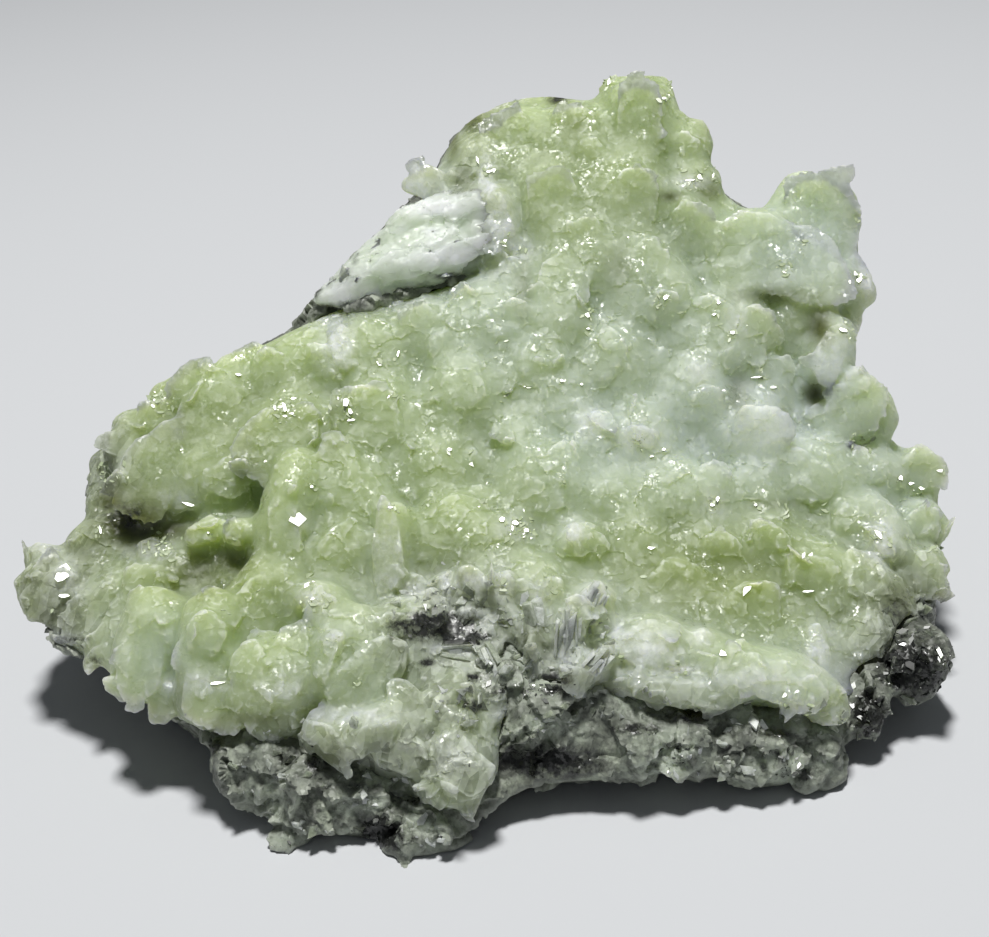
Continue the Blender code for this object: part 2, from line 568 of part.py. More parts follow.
def build_crust():
    crust = grown_together(outline_block("prehnite_crust"), CRUST, "crystal")
    apply_boolean(crust, vein_pocket(), "DIFFERENCE")
    apply_boolean(crust, bedding_sheet(0.5 * NODE_GAP), "DIFFERENCE")
    rest_flat(crust)
    keep_outer_shell(crust)
    thin_out(crust, CRUST_THINNING)
    return crust


def build_vein():
    vein = grown_together(outline_block("white_vein"), VEIN_SLABS, "slab")
    apply_boolean(vein, sight_prism("vein_outline", VEIN, NEAR_DEPTH, BACK_DEPTH), "INTERSECT")
    apply_boolean(vein, bedding_sheet(0.5 * NODE_GAP), "DIFFERENCE")
    return vein


def build_rock():
    rock = grown_together(outline_block("matrix_rock"), ROCK_LUMPS, "lump")
    apply_boolean(rock, bedding_sheet(-0.5 * NODE_GAP), "INTERSECT")
    rest_flat(rock)
    return rock


def main():
    start_clean()
    for build, colour, roughness in (
        (build_crust, (0.44, 0.53, 0.30), 0.3),
        (build_vein, (0.72, 0.75, 0.68), 0.4),
        (build_rock, (0.10, 0.11, 0.10), 0.6),
    ):
        piece = build()
        keep_outer_shell(piece)
        piece.data.materials.clear()
        piece.data.materials.append(make_material(piece.name, colour, roughness))


main()
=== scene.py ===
# %% [markdown]
# # Prehnite cluster, dressed for its picture
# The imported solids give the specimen's true size and main forms: a crust of overlapping crystals,
# the rock that it grew on, and a white vein. This script turns them into a real looking stone.
# It starts by loading them and keeping the size of the box that they fill.

import json
import math
import random
import time

import bmesh
import bpy
import numpy as np
from mathutils import Matrix, Vector
from mathutils.bvhtree import BVHTree

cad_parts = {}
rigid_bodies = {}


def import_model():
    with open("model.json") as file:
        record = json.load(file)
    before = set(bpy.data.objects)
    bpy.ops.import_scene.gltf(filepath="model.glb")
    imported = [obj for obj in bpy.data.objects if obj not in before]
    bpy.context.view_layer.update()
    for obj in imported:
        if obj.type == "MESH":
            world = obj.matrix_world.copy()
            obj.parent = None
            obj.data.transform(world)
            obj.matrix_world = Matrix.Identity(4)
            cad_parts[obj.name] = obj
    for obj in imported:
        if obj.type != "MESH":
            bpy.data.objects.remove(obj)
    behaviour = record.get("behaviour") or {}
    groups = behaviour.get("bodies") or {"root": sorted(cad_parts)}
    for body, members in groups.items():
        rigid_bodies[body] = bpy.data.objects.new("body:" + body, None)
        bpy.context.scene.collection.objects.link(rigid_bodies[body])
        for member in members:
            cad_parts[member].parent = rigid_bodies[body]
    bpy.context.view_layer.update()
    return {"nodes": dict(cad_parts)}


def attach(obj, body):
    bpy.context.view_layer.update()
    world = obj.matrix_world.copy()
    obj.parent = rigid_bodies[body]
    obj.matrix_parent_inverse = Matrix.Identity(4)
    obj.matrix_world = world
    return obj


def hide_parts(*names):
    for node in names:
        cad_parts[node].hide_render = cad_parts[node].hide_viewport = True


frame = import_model()
MM = 0.001
STARTED = time.time()

# %% [markdown]
# ## The front view
# Every crystal was measured on the specimen's front view. A place on it is written as millimetres
# across and up from the view's centre, with a depth in millimetres toward the viewer. One function
# turns such a place into metres, so that the camera, the crystals and the colours all agree.

# %% Places on the front view
VIEW_TILT = math.radians(30.04)
VIEW_ROLL = math.radians(4.16)
EYE_DISTANCE = 177.8
VIEW_CENTRE = Vector((0.0, -11.9, 21.1))
CENTRING = Vector((1.62, 10.56, 0.0))
LOOK = Vector((0.0, math.cos(VIEW_TILT), -math.sin(VIEW_TILT)))
LEVEL_UP = Vector((0.0, math.sin(VIEW_TILT), math.cos(VIEW_TILT)))
LEVEL_RIGHT = Vector((1.0, 0.0, 0.0))
RIGHT = math.cos(VIEW_ROLL) * LEVEL_RIGHT - math.sin(VIEW_ROLL) * LEVEL_UP
UP = math.sin(VIEW_ROLL) * LEVEL_RIGHT + math.cos(VIEW_ROLL) * LEVEL_UP
EYE = VIEW_CENTRE - EYE_DISTANCE * LOOK


def spot(across, up, depth):
    """The place in metres of a point seen at (across, up), depth millimetres before the view's centre."""
    on_plane = VIEW_CENTRE + across * RIGHT + up * UP
    reach = (EYE_DISTANCE - depth) / EYE_DISTANCE
    return (EYE + (on_plane - EYE) * reach + CENTRING) * MM


def seen_at(points):
    """Across and up in millimetres for an array of places in metres."""
    ray = points / MM - np.array(EYE + CENTRING)
    far = ray @ np.array(LOOK)
    across = ray @ np.array(RIGHT) * EYE_DISTANCE / far
    up = ray @ np.array(UP) * EYE_DISTANCE / far
    return across, up


print("eye at", [round(v, 1) for v in EYE + CENTRING], "mm")

# %% [markdown]
# The picture looks down on the specimen at about thirty degrees, from a hand's length away. A
# camera could be aimed by eye. Here it is set from the same axes that place the crystals, so a
# place on the front view lands on the right pixel.

# %% Camera at the specimen's front
camera_data = bpy.data.cameras.new("front_camera")
camera_data.sensor_width = 36.0
camera_data.lens = 58.24
camera_data.clip_start = 0.005
camera = bpy.data.objects.new("front_camera", camera_data)
bpy.context.scene.collection.objects.link(camera)
camera_axes = Matrix((RIGHT, UP, -LOOK)).transposed().to_4x4()
camera.matrix_world = Matrix.Translation((EYE + CENTRING) * MM) @ camera_axes
bpy.context.scene.camera = camera
print("camera lens:", camera_data.lens, "mm, distance:", EYE_DISTANCE, "mm")

# %% [markdown]
# A polished display lamp shows crystals best: one small bright disk above the stone gives hard
# glints and a crisp shadow, and a dim pale world fills the dark side. The floor is a plain pale
# sheet.

# %% Light and floor
floor_mesh = bpy.data.meshes.new("floor")
floor_mesh.from_pydata([(-3, -3, 0), (3, -3, 0), (3, 3, 0), (-3, 3, 0)], [], [(0, 1, 2, 3)])
floor = bpy.data.objects.new("floor", floor_mesh)
bpy.context.scene.collection.objects.link(floor)
floor_paint = bpy.data.materials.new("floor_paint")
floor_paint.use_nodes = True
floor_shader = floor_paint.node_tree.nodes["Principled BSDF"]
floor_shader.inputs["Base Color"].default_value = (0.62, 0.63, 0.66, 1.0)
floor_shader.inputs["Roughness"].default_value = 0.9
floor_mesh.materials.append(floor_paint)


def area_light(name, place, aim, size, power, colour):
    data = bpy.data.lights.new(name, "AREA")
    data.shape = "DISK"
    data.size = size
    data.energy = power
    data.color = colour
    lamp = bpy.data.objects.new(name, data)
    bpy.context.scene.collection.objects.link(lamp)
    lamp.location = place
    lamp.rotation_mode = "QUATERNION"
    lamp.rotation_quaternion = (Vector(aim) - Vector(place)).to_track_quat("-Z", "Y")
    return lamp


LAMP_PLACE = (0.0, 0.03, 0.80)
area_light("top_light", LAMP_PLACE, (0.0, 0.0, 0.02), 0.13, 6.7, (1.0, 1.0, 0.97))
world = bpy.data.worlds.new("soft_room")
world.use_nodes = True
world.node_tree.nodes["Background"].inputs[0].default_value = (0.75, 0.8, 0.85, 1.0)
world.node_tree.nodes["Background"].inputs[1].default_value = 0.11
bpy.context.scene.world = world
bpy.context.scene.view_settings.view_transform = "Standard"
print("lights:", len(bpy.data.lights), "and a dim world")

# %% [markdown]
# The crust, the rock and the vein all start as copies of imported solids. Such a solid could be
# sculpted by hand, but a voxel remesh turns it into an even skin that anything can be grown on, and
# the same few steps then serve all three pieces: copy, remesh, smooth and thin.

# %% Helpers for meshes


def link(thing):
    bpy.context.scene.collection.objects.link(thing)
    return thing


def solid_copy(node, name):
    """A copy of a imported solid, with the doubled points of its loose triangles merged."""
    work = bmesh.new()
    work.from_mesh(frame["nodes"][node].data)
    bmesh.ops.remove_doubles(work, verts=work.verts, dist=1e-6)
    mesh = bpy.data.meshes.new(name)
    work.to_mesh(mesh)
    work.free()
    return link(bpy.data.objects.new(name, mesh))


def bake(thing):
    """Makes the object's modifiers final."""
    graph = bpy.context.evaluated_depsgraph_get()
    done = bpy.data.meshes.new_from_object(thing.evaluated_get(graph))
    thing.modifiers.clear()
    thing.data = done
    return thing


def remeshed(thing, voxel):
    step = thing.modifiers.new("remesh", "REMESH")
    step.mode = "VOXEL"
    step.voxel_size = voxel * MM
    step.adaptivity = 0.0
    return bake(thing)


def smoothed(thing, factor, rounds):
    step = thing.modifiers.new("smooth", "SMOOTH")
    step.factor = factor
    step.iterations = rounds
    return bake(thing)


def thinned(thing, most):
    now = sum(len(face.vertices) - 2 for face in thing.data.polygons)
    if now > most:
        step = thing.modifiers.new("thin", "DECIMATE")
        step.ratio = most / now
        bake(thing)
    return thing


def report(thing):
    count = sum(len(face.vertices) - 2 for face in thing.data.polygons)
    print(thing.name, count, "triangles", round(time.time() - STARTED, 1), "s")

# %% [markdown]
# Small corrections are moves of the mesh's own points: a skin that swells a little along its
# normals, or one that is pressed flat where it would reach below the floor.

# %% Swell, level and measure


def swollen(thing, amount):
    """Moves the points outwards: one number of millimetres for all, or one for each point."""
    amounts = np.broadcast_to(amount, len(thing.data.vertices))
    places = points_of(thing) + normals_of(thing) * amounts[:, None] * MM
    thing.data.vertices.foreach_set("co", places.astype(np.float32).ravel())
    thing.data.update()
    return thing


def above_floor(thing):
    """Presses what reaches below the floor flat onto it."""
    places = points_of(thing)
    places[:, 2] = np.maximum(places[:, 2], 0.0)
    thing.data.vertices.foreach_set("co", places.astype(np.float32).ravel())
    thing.data.update()
    return thing

# %% [markdown]
# Colours and breaks on a stone come in patches with soft edges. A patch could be painted by hand on
# a texture. Here it is a soft round spot at a measured place of the front view, and the largest
# spot wins at each point, so that patches never add up to a hard blot.

# %% Soft spots on the front


def spotted(points, spots):
    """How strongly each place lies in a set of soft spots, from 0 to about 1."""
    across, up = seen_at(points)
    total = np.zeros(len(points))
    for centre_across, centre_up, half_width, half_height, strength in spots:
        far = ((across - centre_across) / half_width) ** 2 + ((up - centre_up) / half_height) ** 2
        total = np.maximum(total, strength * np.exp(-0.8 * far))
    return total


def points_of(thing):
    flat = np.empty(3 * len(thing.data.vertices), np.float32)
    thing.data.vertices.foreach_get("co", flat)
    return flat.reshape(-1, 3).astype(float)


def normals_of(thing):
    flat = np.empty(3 * len(thing.data.vertices), np.float32)
    thing.data.vertex_normals.foreach_get("vector", flat)
    return flat.reshape(-1, 3).astype(float)


def store(thing, name, values):
    layer = thing.data.attributes.get(name) or thing.data.attributes.new(name, "FLOAT", "POINT")
    layer.data.foreach_set("value", values.astype(np.float32))

# %% [markdown]
# Prehnite grows as rounded, slightly curved plates whose free edge is scalloped and ribbed. One
# plate could be a squashed sphere, but it would look like a pebble. Rings of points around a
# rounded square, closed at both ends, give it a thick root, a thin rim and ribs, and every seed
# gives another plate.

# %% Petals, the thin rounded plates that prehnite grows in
PETAL_PROFILE = [(0.5, -1.6), (0.92, -0.7), (1.0, -0.08), (0.985, 0.2), (0.93, 0.33), (0.6, 0.4)]
SMALL_PROFILE = [(0.7, -1.2), (1.0, -0.1), (0.97, 0.24), (0.7, 0.36)]
SQUARENESS = 0.82


def squared(value):
    return math.copysign(abs(value) ** SQUARENESS, value)


def uneven_rim(dice, sides, sway, least, most):
    """The corners of a broken shape: an angle and a reach for each."""
    return [
        (math.tau * (i + dice.uniform(-sway, sway)) / sides, dice.uniform(least, most)) for i in range(sides)
    ]


def close_loops(work, loops):
    """Joins rings of points into one closed skin."""
    count = len(loops[0])
    for low, high in zip(loops, loops[1:]):
        for i in range(count):
            j = (i + 1) % count
            work.faces.new((low[i], low[j], high[j], high[i]))
    work.faces.new(loops[0][::-1])
    work.faces.new(loops[-1])


def add_petal(work, seed, around, scallop, root, thick, curl, place, profile):
    """Adds one closed petal: its outer end points along y, and place moves each point where it goes."""
    dice = random.Random(seed)
    swings = [dice.uniform(0.0, math.tau) for _ in range(4)]
    rim = []
    for i in range(around):
        angle = math.tau * i / around
        x = squared(math.sin(angle))
        y = squared(math.cos(angle))
        reach = 0.93 + 0.07 * math.sin(2 * angle + swings[0]) + 0.06 * math.sin(3 * angle + swings[1])
        reach += 0.04 * math.sin(5 * angle + swings[2]) - dice.uniform(0.0, 0.04)
        reach -= (scallop if i % 2 else 0.0) * max(0.0, 0.4 + 0.6 * y)
        rim.append((x * reach * (1.0 - root * (0.5 - 0.5 * y)), y * reach, angle))
    ribs = dice.randint(4, 7)
    loops = []
    for scale, height in profile:
        loop = []
        for x, y, angle in rim:
            rib = 0.14 * math.cos(ribs * angle + swings[3]) * scale if height > 0.1 else 0.0
            bend = -curl * (scale * max(y, -0.3)) ** 2
            level = (height + rib) * thick + bend
            loop.append(work.verts.new(place(Vector((x * scale, y * scale, level)))))
        loops.append(loop)
    close_loops(work, loops)


def finished_mesh(work, name):
    """Turns a bmesh of closed shapes into a mesh whose faces point outwards."""
    bmesh.ops.recalc_face_normals(work, faces=work.faces)
    mesh = bpy.data.meshes.new(name)
    work.to_mesh(mesh)
    work.free()
    return mesh

# %% [markdown]
# The small petals are repeated thousands of times, so six kinds with few faces are enough. They
# wait in a collection, from which Geometry Nodes picks one at each point.

# %% Kinds of small petals


def petal_kind(name, seed, around, scallop, root, thick, curl, wide):
    work = bmesh.new()

    def place(point):
        return Vector((point.x * wide, point.y, point.z))

    add_petal(work, seed, around, scallop, root, thick, curl, place, SMALL_PROFILE)
    return bpy.data.objects.new(name, finished_mesh(work, name))


def petal_box(name, rows):
    """A collection of petal kinds, each row: seed, points around, scallop, root, thickness, curl, width."""
    box = bpy.data.collections.new(name)
    bpy.context.scene.collection.children.link(box)
    for row in rows:
        box.objects.link(petal_kind(name + "_" + str(row[0]), *row))
    return box


FAN_ROWS = [
    (1, 14, 0.08, 0.5, 0.16, 0.1, 1.35), (2, 10, 0.1, 0.35, 0.2, 0.06, 0.7),
    (3, 16, 0.07, 0.6, 0.14, 0.12, 1.1), (4, 8, 0.06, 0.2, 0.24, 0.04, 0.5),
    (5, 14, 0.09, 0.45, 0.16, 0.08, 1.6), (6, 12, 0.1, 0.3, 0.18, 0.05, 0.9),
]
fans = petal_box("fans", FAN_ROWS)

# %% [markdown]
# Node trees can be drawn by hand in Blender's editor. Built in code they stay readable, and a few
# helpers keep them short: one starts a tree with named inputs, one adds a node and fills its
# sockets, one ends the tree with real faces and a finish, and one runs it.

# %% Helpers for Geometry Nodes


def new_tree(name, sockets):
    """A Geometry Nodes tree with a geometry in, a geometry out, and named number inputs."""
    tree = bpy.data.node_groups.new(name, "GeometryNodeTree")
    tree.interface.new_socket("Geometry", in_out="INPUT", socket_type="NodeSocketGeometry")
    for label, kind in sockets:
        tree.interface.new_socket(label, in_out="INPUT", socket_type=kind)
    tree.interface.new_socket("Geometry", in_out="OUTPUT", socket_type="NodeSocketGeometry")
    return tree, tree.nodes.new("NodeGroupInput"), tree.nodes.new("NodeGroupOutput")


def add_node(tree, kind, values=None, **settings):
    """Adds a node, sets its properties, and fills or links its inputs by name or number."""
    made = tree.nodes.new(kind)
    for key, value in settings.items():
        setattr(made, key, value)
    for key, value in (values or {}).items():
        if isinstance(value, bpy.types.NodeSocket):
            tree.links.new(value, made.inputs[key])
        else:
            made.inputs[key].default_value = value
    return made


def end_tree(tree, geometry, given, result):
    """Ends a tree: the instances become real faces, and they get their finish."""
    real = add_node(tree, "GeometryNodeRealizeInstances", {0: geometry})
    dressed = add_node(
        tree, "GeometryNodeSetMaterial", {"Geometry": real.outputs[0], "Material": given.outputs["Finish"]}
    )
    tree.links.new(dressed.outputs[0], result.inputs[0])
    return tree


def run_tree(thing, tree, values):
    """Runs a tree on an object with its named inputs, and keeps the plain mesh that comes out."""
    step = thing.modifiers.new(tree.name, "NODES")
    step.node_group = tree
    for item in tree.interface.items_tree:
        if item.item_type == "SOCKET" and item.in_out == "INPUT" and item.name in values:
            step[item.identifier] = values[item.name]
    return bake(thing)

# %% [markdown]
# The real crust grew outwards from many hearts, petal over petal. The tree scatters points no
# closer than a spacing, stands a petal on each, turns its tip along the flow of growth, and varies
# tip, turn and size. This is what Geometry Nodes do best: the same tree grows the large lobes and
# the small scales between them.

# %% A tree that grows petals over a surface
FLOAT = "NodeSocketFloat"
INTEGER = "NodeSocketInt"


def petal_growth():
    tree, given, result = new_tree(
        "grow_petals",
        [
            ("Spacing", FLOAT), ("Smallest", FLOAT), ("Largest", FLOAT), ("Lift", FLOAT),
            ("Least Tip", FLOAT), ("Most Tip", FLOAT), ("Turn", FLOAT), ("Seed", INTEGER),
            ("Kinds", "NodeSocketCollection"), ("Finish", "NodeSocketMaterial"),
        ],
    )
    density = add_node(tree, "ShaderNodeMath", {0: 1.0, 1: given.outputs["Spacing"]}, operation="DIVIDE")
    density = add_node(tree, "ShaderNodeMath", {0: density.outputs[0], 1: 2.0}, operation="POWER")
    grown = add_node(tree, "GeometryNodeInputNamedAttribute", {"Name": "grown"}, data_type="FLOAT")
    points = add_node(
        tree,
        "GeometryNodeDistributePointsOnFaces",
        {
            "Mesh": given.outputs["Geometry"],
            "Distance Min": given.outputs["Spacing"],
            "Density Max": density.outputs[0],
            "Density Factor": grown.outputs["Attribute"],
            "Seed": given.outputs["Seed"],
        },
        distribute_method="POISSON",
    )
    upright = add_node(
        tree, "FunctionNodeAlignRotationToVector", {"Vector": points.outputs["Normal"]}, axis="Z"
    )
    flow = add_node(tree, "GeometryNodeInputNamedAttribute", {"Name": "flow"}, data_type="FLOAT_VECTOR")
    down = add_node(
        tree,
        "FunctionNodeAlignRotationToVector",
        {"Rotation": upright.outputs[0], "Vector": flow.outputs["Attribute"]},
        axis="Y",
        pivot_axis="Z",
    )
    half_turn = add_node(tree, "ShaderNodeCombineXYZ", {2: given.outputs["Turn"]}).outputs[0]
    other_half = add_node(
        tree, "ShaderNodeVectorMath", {0: half_turn, 1: (-1.0, -1.0, -1.0)}, operation="MULTIPLY"
    )
    yaw = add_node(
        tree,
        "FunctionNodeRandomValue",
        {0: other_half.outputs[0], 1: half_turn, "Seed": given.outputs["Seed"]},
        data_type="FLOAT_VECTOR",
    )
    turned = add_node(
        tree,
        "FunctionNodeRotateRotation",
        {0: down.outputs[0], 1: yaw.outputs[0]},
        rotation_space="LOCAL",
    )
    least = add_node(tree, "ShaderNodeCombineXYZ", {0: given.outputs["Least Tip"], 1: -0.2})
    most = add_node(tree, "ShaderNodeCombineXYZ", {0: given.outputs["Most Tip"], 1: 0.2})
    tip = add_node(
        tree,
        "FunctionNodeRandomValue",
        {0: least.outputs[0], 1: most.outputs[0], "Seed": given.outputs["Seed"]},
        data_type="FLOAT_VECTOR",
    )
    tipped = add_node(
        tree,
        "FunctionNodeRotateRotation",
        {0: turned.outputs[0], 1: tip.outputs[0]},
        rotation_space="LOCAL",
    )
    size = add_node(
        tree,
        "FunctionNodeRandomValue",
        {2: given.outputs["Smallest"], 3: given.outputs["Largest"], "Seed": given.outputs["Seed"]},
        data_type="FLOAT",
    )
    kinds = add_node(
        tree,
        "GeometryNodeCollectionInfo",
        {"Collection": given.outputs["Kinds"], "Separate Children": True, "Reset Children": True},
    )
    lift = add_node(
        tree, "ShaderNodeVectorMath", {0: points.outputs["Normal"]}, operation="SCALE"
    )
    tree.links.new(given.outputs["Lift"], lift.inputs["Scale"])
    raised = add_node(
        tree, "GeometryNodeSetPosition", {"Geometry": points.outputs["Points"], "Offset": lift.outputs[0]}
    )
    placed = add_node(
        tree,
        "GeometryNodeInstanceOnPoints",
        {
            "Points": raised.outputs[0],
            "Instance": kinds.outputs[0],
            "Pick Instance": True,
            "Rotation": tipped.outputs[0],
            "Scale": size.outputs[1],
        },
    )
    both = tree.nodes.new("GeometryNodeJoinGeometry")
    tree.links.new(given.outputs["Geometry"], both.inputs[0])
    tree.links.new(placed.outputs[0], both.inputs[0])
    return end_tree(tree, both.outputs[0], given, result)


grow_petals = petal_growth()
print("petal growth:", len(grow_petals.nodes), "nodes")

# %% [markdown]
# Where prehnite or rock breaks, small faces step over each other. Random noise would only make
# dents. This tree cuts space into warped cells and slopes the skin a different way in each, so that
# neighbours meet in small steps with sharp edges.

# %% A tree that breaks a surface into overlapping shingles


def maths(tree, operation, first, second=0.0):
    return add_node(tree, "ShaderNodeMath", {0: first, 1: second}, operation=operation).outputs[0]


def vectors(tree, operation, first, second=None):
    made = add_node(tree, "ShaderNodeVectorMath", {0: first}, operation=operation)
    if operation == "SCALE":
        if isinstance(second, bpy.types.NodeSocket):
            tree.links.new(second, made.inputs["Scale"])
        else:
            made.inputs["Scale"].default_value = second
    elif isinstance(second, bpy.types.NodeSocket):
        tree.links.new(second, made.inputs[1])
    elif second is not None:
        made.inputs[1].default_value = second
    return made.outputs["Value"] if operation in ("DOT_PRODUCT", "LENGTH") else made.outputs["Vector"]


def shingle_break():
    tree, given, result = new_tree(
        "break_into_shingles",
        [
            ("Cell", FLOAT), ("Tilt", FLOAT), ("Step", FLOAT), ("Warp", FLOAT), ("Seed", FLOAT),
            ("Finish", "NodeSocketMaterial"),
        ],
    )
    place = add_node(tree, "GeometryNodeInputPosition").outputs[0]
    shrink = maths(tree, "DIVIDE", 1.0, given.outputs["Cell"])
    cells = vectors(tree, "SCALE", place, shrink)
    seed = given.outputs["Seed"]
    shift = add_node(tree, "ShaderNodeCombineXYZ", {0: seed, 1: seed, 2: seed})
    cells = vectors(tree, "ADD", cells, shift.outputs[0])
    sway = add_node(tree, "ShaderNodeTexNoise", {"Vector": cells, "Scale": 0.7, "Detail": 2.0})
    sway = vectors(tree, "SUBTRACT", sway.outputs["Color"], (0.5, 0.5, 0.5))
    cells = vectors(tree, "ADD", cells, vectors(tree, "SCALE", sway, given.outputs["Warp"]))
    patches = add_node(tree, "ShaderNodeTexVoronoi", {"Vector": cells, "Scale": 1.0})
    from_centre = vectors(tree, "SUBTRACT", cells, patches.outputs["Position"])
    lean = vectors(tree, "SUBTRACT", patches.outputs["Color"], (0.5, 0.5, 0.5))
    lean = vectors(tree, "ADD", vectors(tree, "SCALE", lean, 2.2), (0.0, -0.35, -0.6))
    height = maths(tree, "MULTIPLY", vectors(tree, "DOT_PRODUCT", from_centre, lean), given.outputs["Tilt"])
    own = add_node(tree, "ShaderNodeSeparateXYZ", {0: patches.outputs["Color"]})
    step = maths(tree, "MULTIPLY", maths(tree, "SUBTRACT", own.outputs[0], 0.5), given.outputs["Step"])
    height = maths(tree, "ADD", height, step)
    height = maths(tree, "MULTIPLY", height, given.outputs["Cell"])
    broken = add_node(tree, "GeometryNodeInputNamedAttribute", {"Name": "broken"}, data_type="FLOAT")
    height = maths(tree, "MULTIPLY", height, broken.outputs["Attribute"])
    outward = add_node(
        tree, "GeometryNodeInputNamedAttribute", {"Name": "outward"}, data_type="FLOAT_VECTOR"
    )
    offset = vectors(tree, "SCALE", outward.outputs["Attribute"], height)
    moved = add_node(
        tree, "GeometryNodeSetPosition", {"Geometry": given.outputs["Geometry"], "Offset": offset}
    )
    return end_tree(tree, moved.outputs[0], given, result)


break_into_shingles = shingle_break()
print("shingle breaking:", len(break_into_shingles.nodes), "nodes")


def relief(thing, factor, rounds, reach):
    """Height above the smoothed surface, from -1 in a crevice to 1 on a rim."""
    twin = link(bpy.data.objects.new("twin", thing.data.copy()))
    smoothed(twin, factor, rounds)
    height = np.einsum("ij,ij->i", points_of(thing) - points_of(twin), normals_of(twin))
    bpy.data.objects.remove(twin)
    return np.clip(height / (reach * MM), -1.0, 1.0)


def store_vectors(thing, name, values):
    layer = thing.data.attributes.get(name) or thing.data.attributes.new(name, "FLOAT_VECTOR", "POINT")
    layer.data.foreach_set("vector", values.astype(np.float32).ravel())


def soft_normals(thing, factor, rounds):
    """Normals of a smoothed copy with the same points."""
    twin = link(bpy.data.objects.new("twin", thing.data.copy()))
    smoothed(twin, factor, rounds)
    normals = normals_of(twin)
    bpy.data.objects.remove(twin)
    return normals

# %% [markdown]
# The tree needs to know where to grow and which way. Each point of the mesh gets marks: how much it
# faces the front, how calm the growth is there, its soft normal, and the way from the nearest heart
# of growth. Marks could be painted. Worked out from measured places they stay right when the mesh
# is remade.

# %% Marks on the crust that guide its growth
FRONT_SHARPNESS = 3.0
# Each row: across, up, half width, half height, strength
SMOOTH_SPOTS = [
    (-30.0, 6.0, 10.0, 7.0, 1.0), (-38.0, 0.0, 6.0, 7.0, 1.0), (16.0, 38.0, 7.0, 8.0, 1.0),
    (4.0, 34.0, 11.0, 9.0, 1.0), (14.0, 27.0, 9.0, 8.0, 0.9), (-23.0, -5.0, 4.0, 8.0, 0.9),
    (-11.4, -8.8, 3.0, 6.0, 0.9), (36.0, 24.0, 9.0, 10.0, 1.0), (26.0, 24.0, 8.0, 6.0, 0.9),
    (38.0, 11.0, 5.0, 7.0, 0.9), (-48.0, -14.0, 5.0, 6.0, 0.8), (-35.0, -20.0, 9.0, 8.0, 0.8),
    (41.0, 5.0, 5.0, 6.0, 0.8), (30.0, -22.0, 9.0, 4.0, 0.4), (24.0, -12.0, 12.0, 6.0, 0.7),
    (-14.0, -25.0, 9.0, 5.0, 0.7), (34.0, 0.0, 6.0, 5.0, 0.7), (47.0, 0.0, 5.0, 5.0, 0.7),
    (0.0, 9.0, 13.0, 8.0, 0.45), (9.0, -3.0, 12.0, 6.0, 0.4), (20.0, 10.0, 10.0, 8.0, 0.4),
]


def facing_front(thing):
    """1 where a surface looks toward the front, falling to 0 where it turns away."""
    return np.clip(normals_of(thing) @ -np.array(LOOK) * FRONT_SHARPNESS, 0.0, 1.0)


GROWTH_HEARTS = [
    (-22.0, 9.0), (-38.0, 8.0), (-30.0, -9.0), (-42.0, -12.0), (-8.0, 9.0), (2.0, 27.0), (15.0, 24.0),
    (27.0, 20.0), (36.0, 9.0), (14.0, 6.0), (26.0, -4.0), (42.0, -6.0), (-4.0, -5.0), (10.0, -12.0),
    (-18.0, -18.0), (34.0, 20.0),
]


def growth_flow(places):
    """The way crystals point: away from the nearest heart of growth."""
    across, up = seen_at(places)
    hearts = np.array(GROWTH_HEARTS)
    away = np.stack([across, up], axis=1)[:, None, :] - hearts[None, :, :]
    far = np.linalg.norm(away, axis=2)
    nearest = np.argmin(far, axis=1)
    chosen = away[np.arange(len(places)), nearest]
    way = chosen[:, :1] * np.array(RIGHT) + chosen[:, 1:] * np.array(UP)
    return way / np.maximum(np.linalg.norm(way, axis=1), 1e-6)[:, None]


def mark_growth(thing, calmness):
    places = points_of(thing)
    front = facing_front(thing)
    calm = np.clip(spotted(places, SMOOTH_SPOTS), 0.0, 1.0)
    store(thing, "grown", front * (1.0 - calmness * calm))
    store(thing, "broken", np.clip(front, 0.3, 1.0) * (1.0 - 0.6 * calm))
    store_vectors(thing, "outward", soft_normals(thing, 0.5, 12))
    store_vectors(thing, "flow", growth_flow(places))


def break_up(thing, layers):
    """Breaks a surface into shingles, layer by layer: cell in millimetres, tilt, step, warp, seed."""
    for cell, tilt, step, warp, seed in layers:
        values = {"Cell": cell * MM, "Tilt": tilt, "Step": step, "Warp": warp, "Seed": seed}
        run_tree(thing, break_into_shingles, values)
    return thing


FRONT_CARE = 1e-5


def weigh_points(thing, name, weights):
    """A vertex group with weights in ten steps."""
    group = thing.vertex_groups.new(name=name)
    for step in range(1, 11):
        picked = np.nonzero(np.round(np.clip(weights, 0.0, 1.0) * 10) == step)[0]
        group.add([int(i) for i in picked], step / 10, "REPLACE")
    return group.name


def keep_front(thing, most):
    """Thins a mesh, mostly on the sides that are hidden from the front."""
    now = sum(len(face.vertices) - 2 for face in thing.data.polygons)
    hidden = weigh_points(thing, "hidden", 1.0 - 0.9 * facing_front(thing))
    step = thing.modifiers.new("thin", "DECIMATE")
    step.ratio = min(1.0, most / now)
    step.vertex_group = hidden
    step.vertex_group_factor = FRONT_CARE
    bake(thing)
    thing.vertex_groups.clear()
    return thing

# %% [markdown]
# The large plates that one recognises are laid one by one. A ray from the eye through a measured
# place finds the smoothed surface, and the plate is set there with its free end along a clock angle
# and lifted by a tip angle, as a hand would set it. Shards are laid the same way, with flat sides
# in place of a round rim.

# %% Laying one plate on the crust


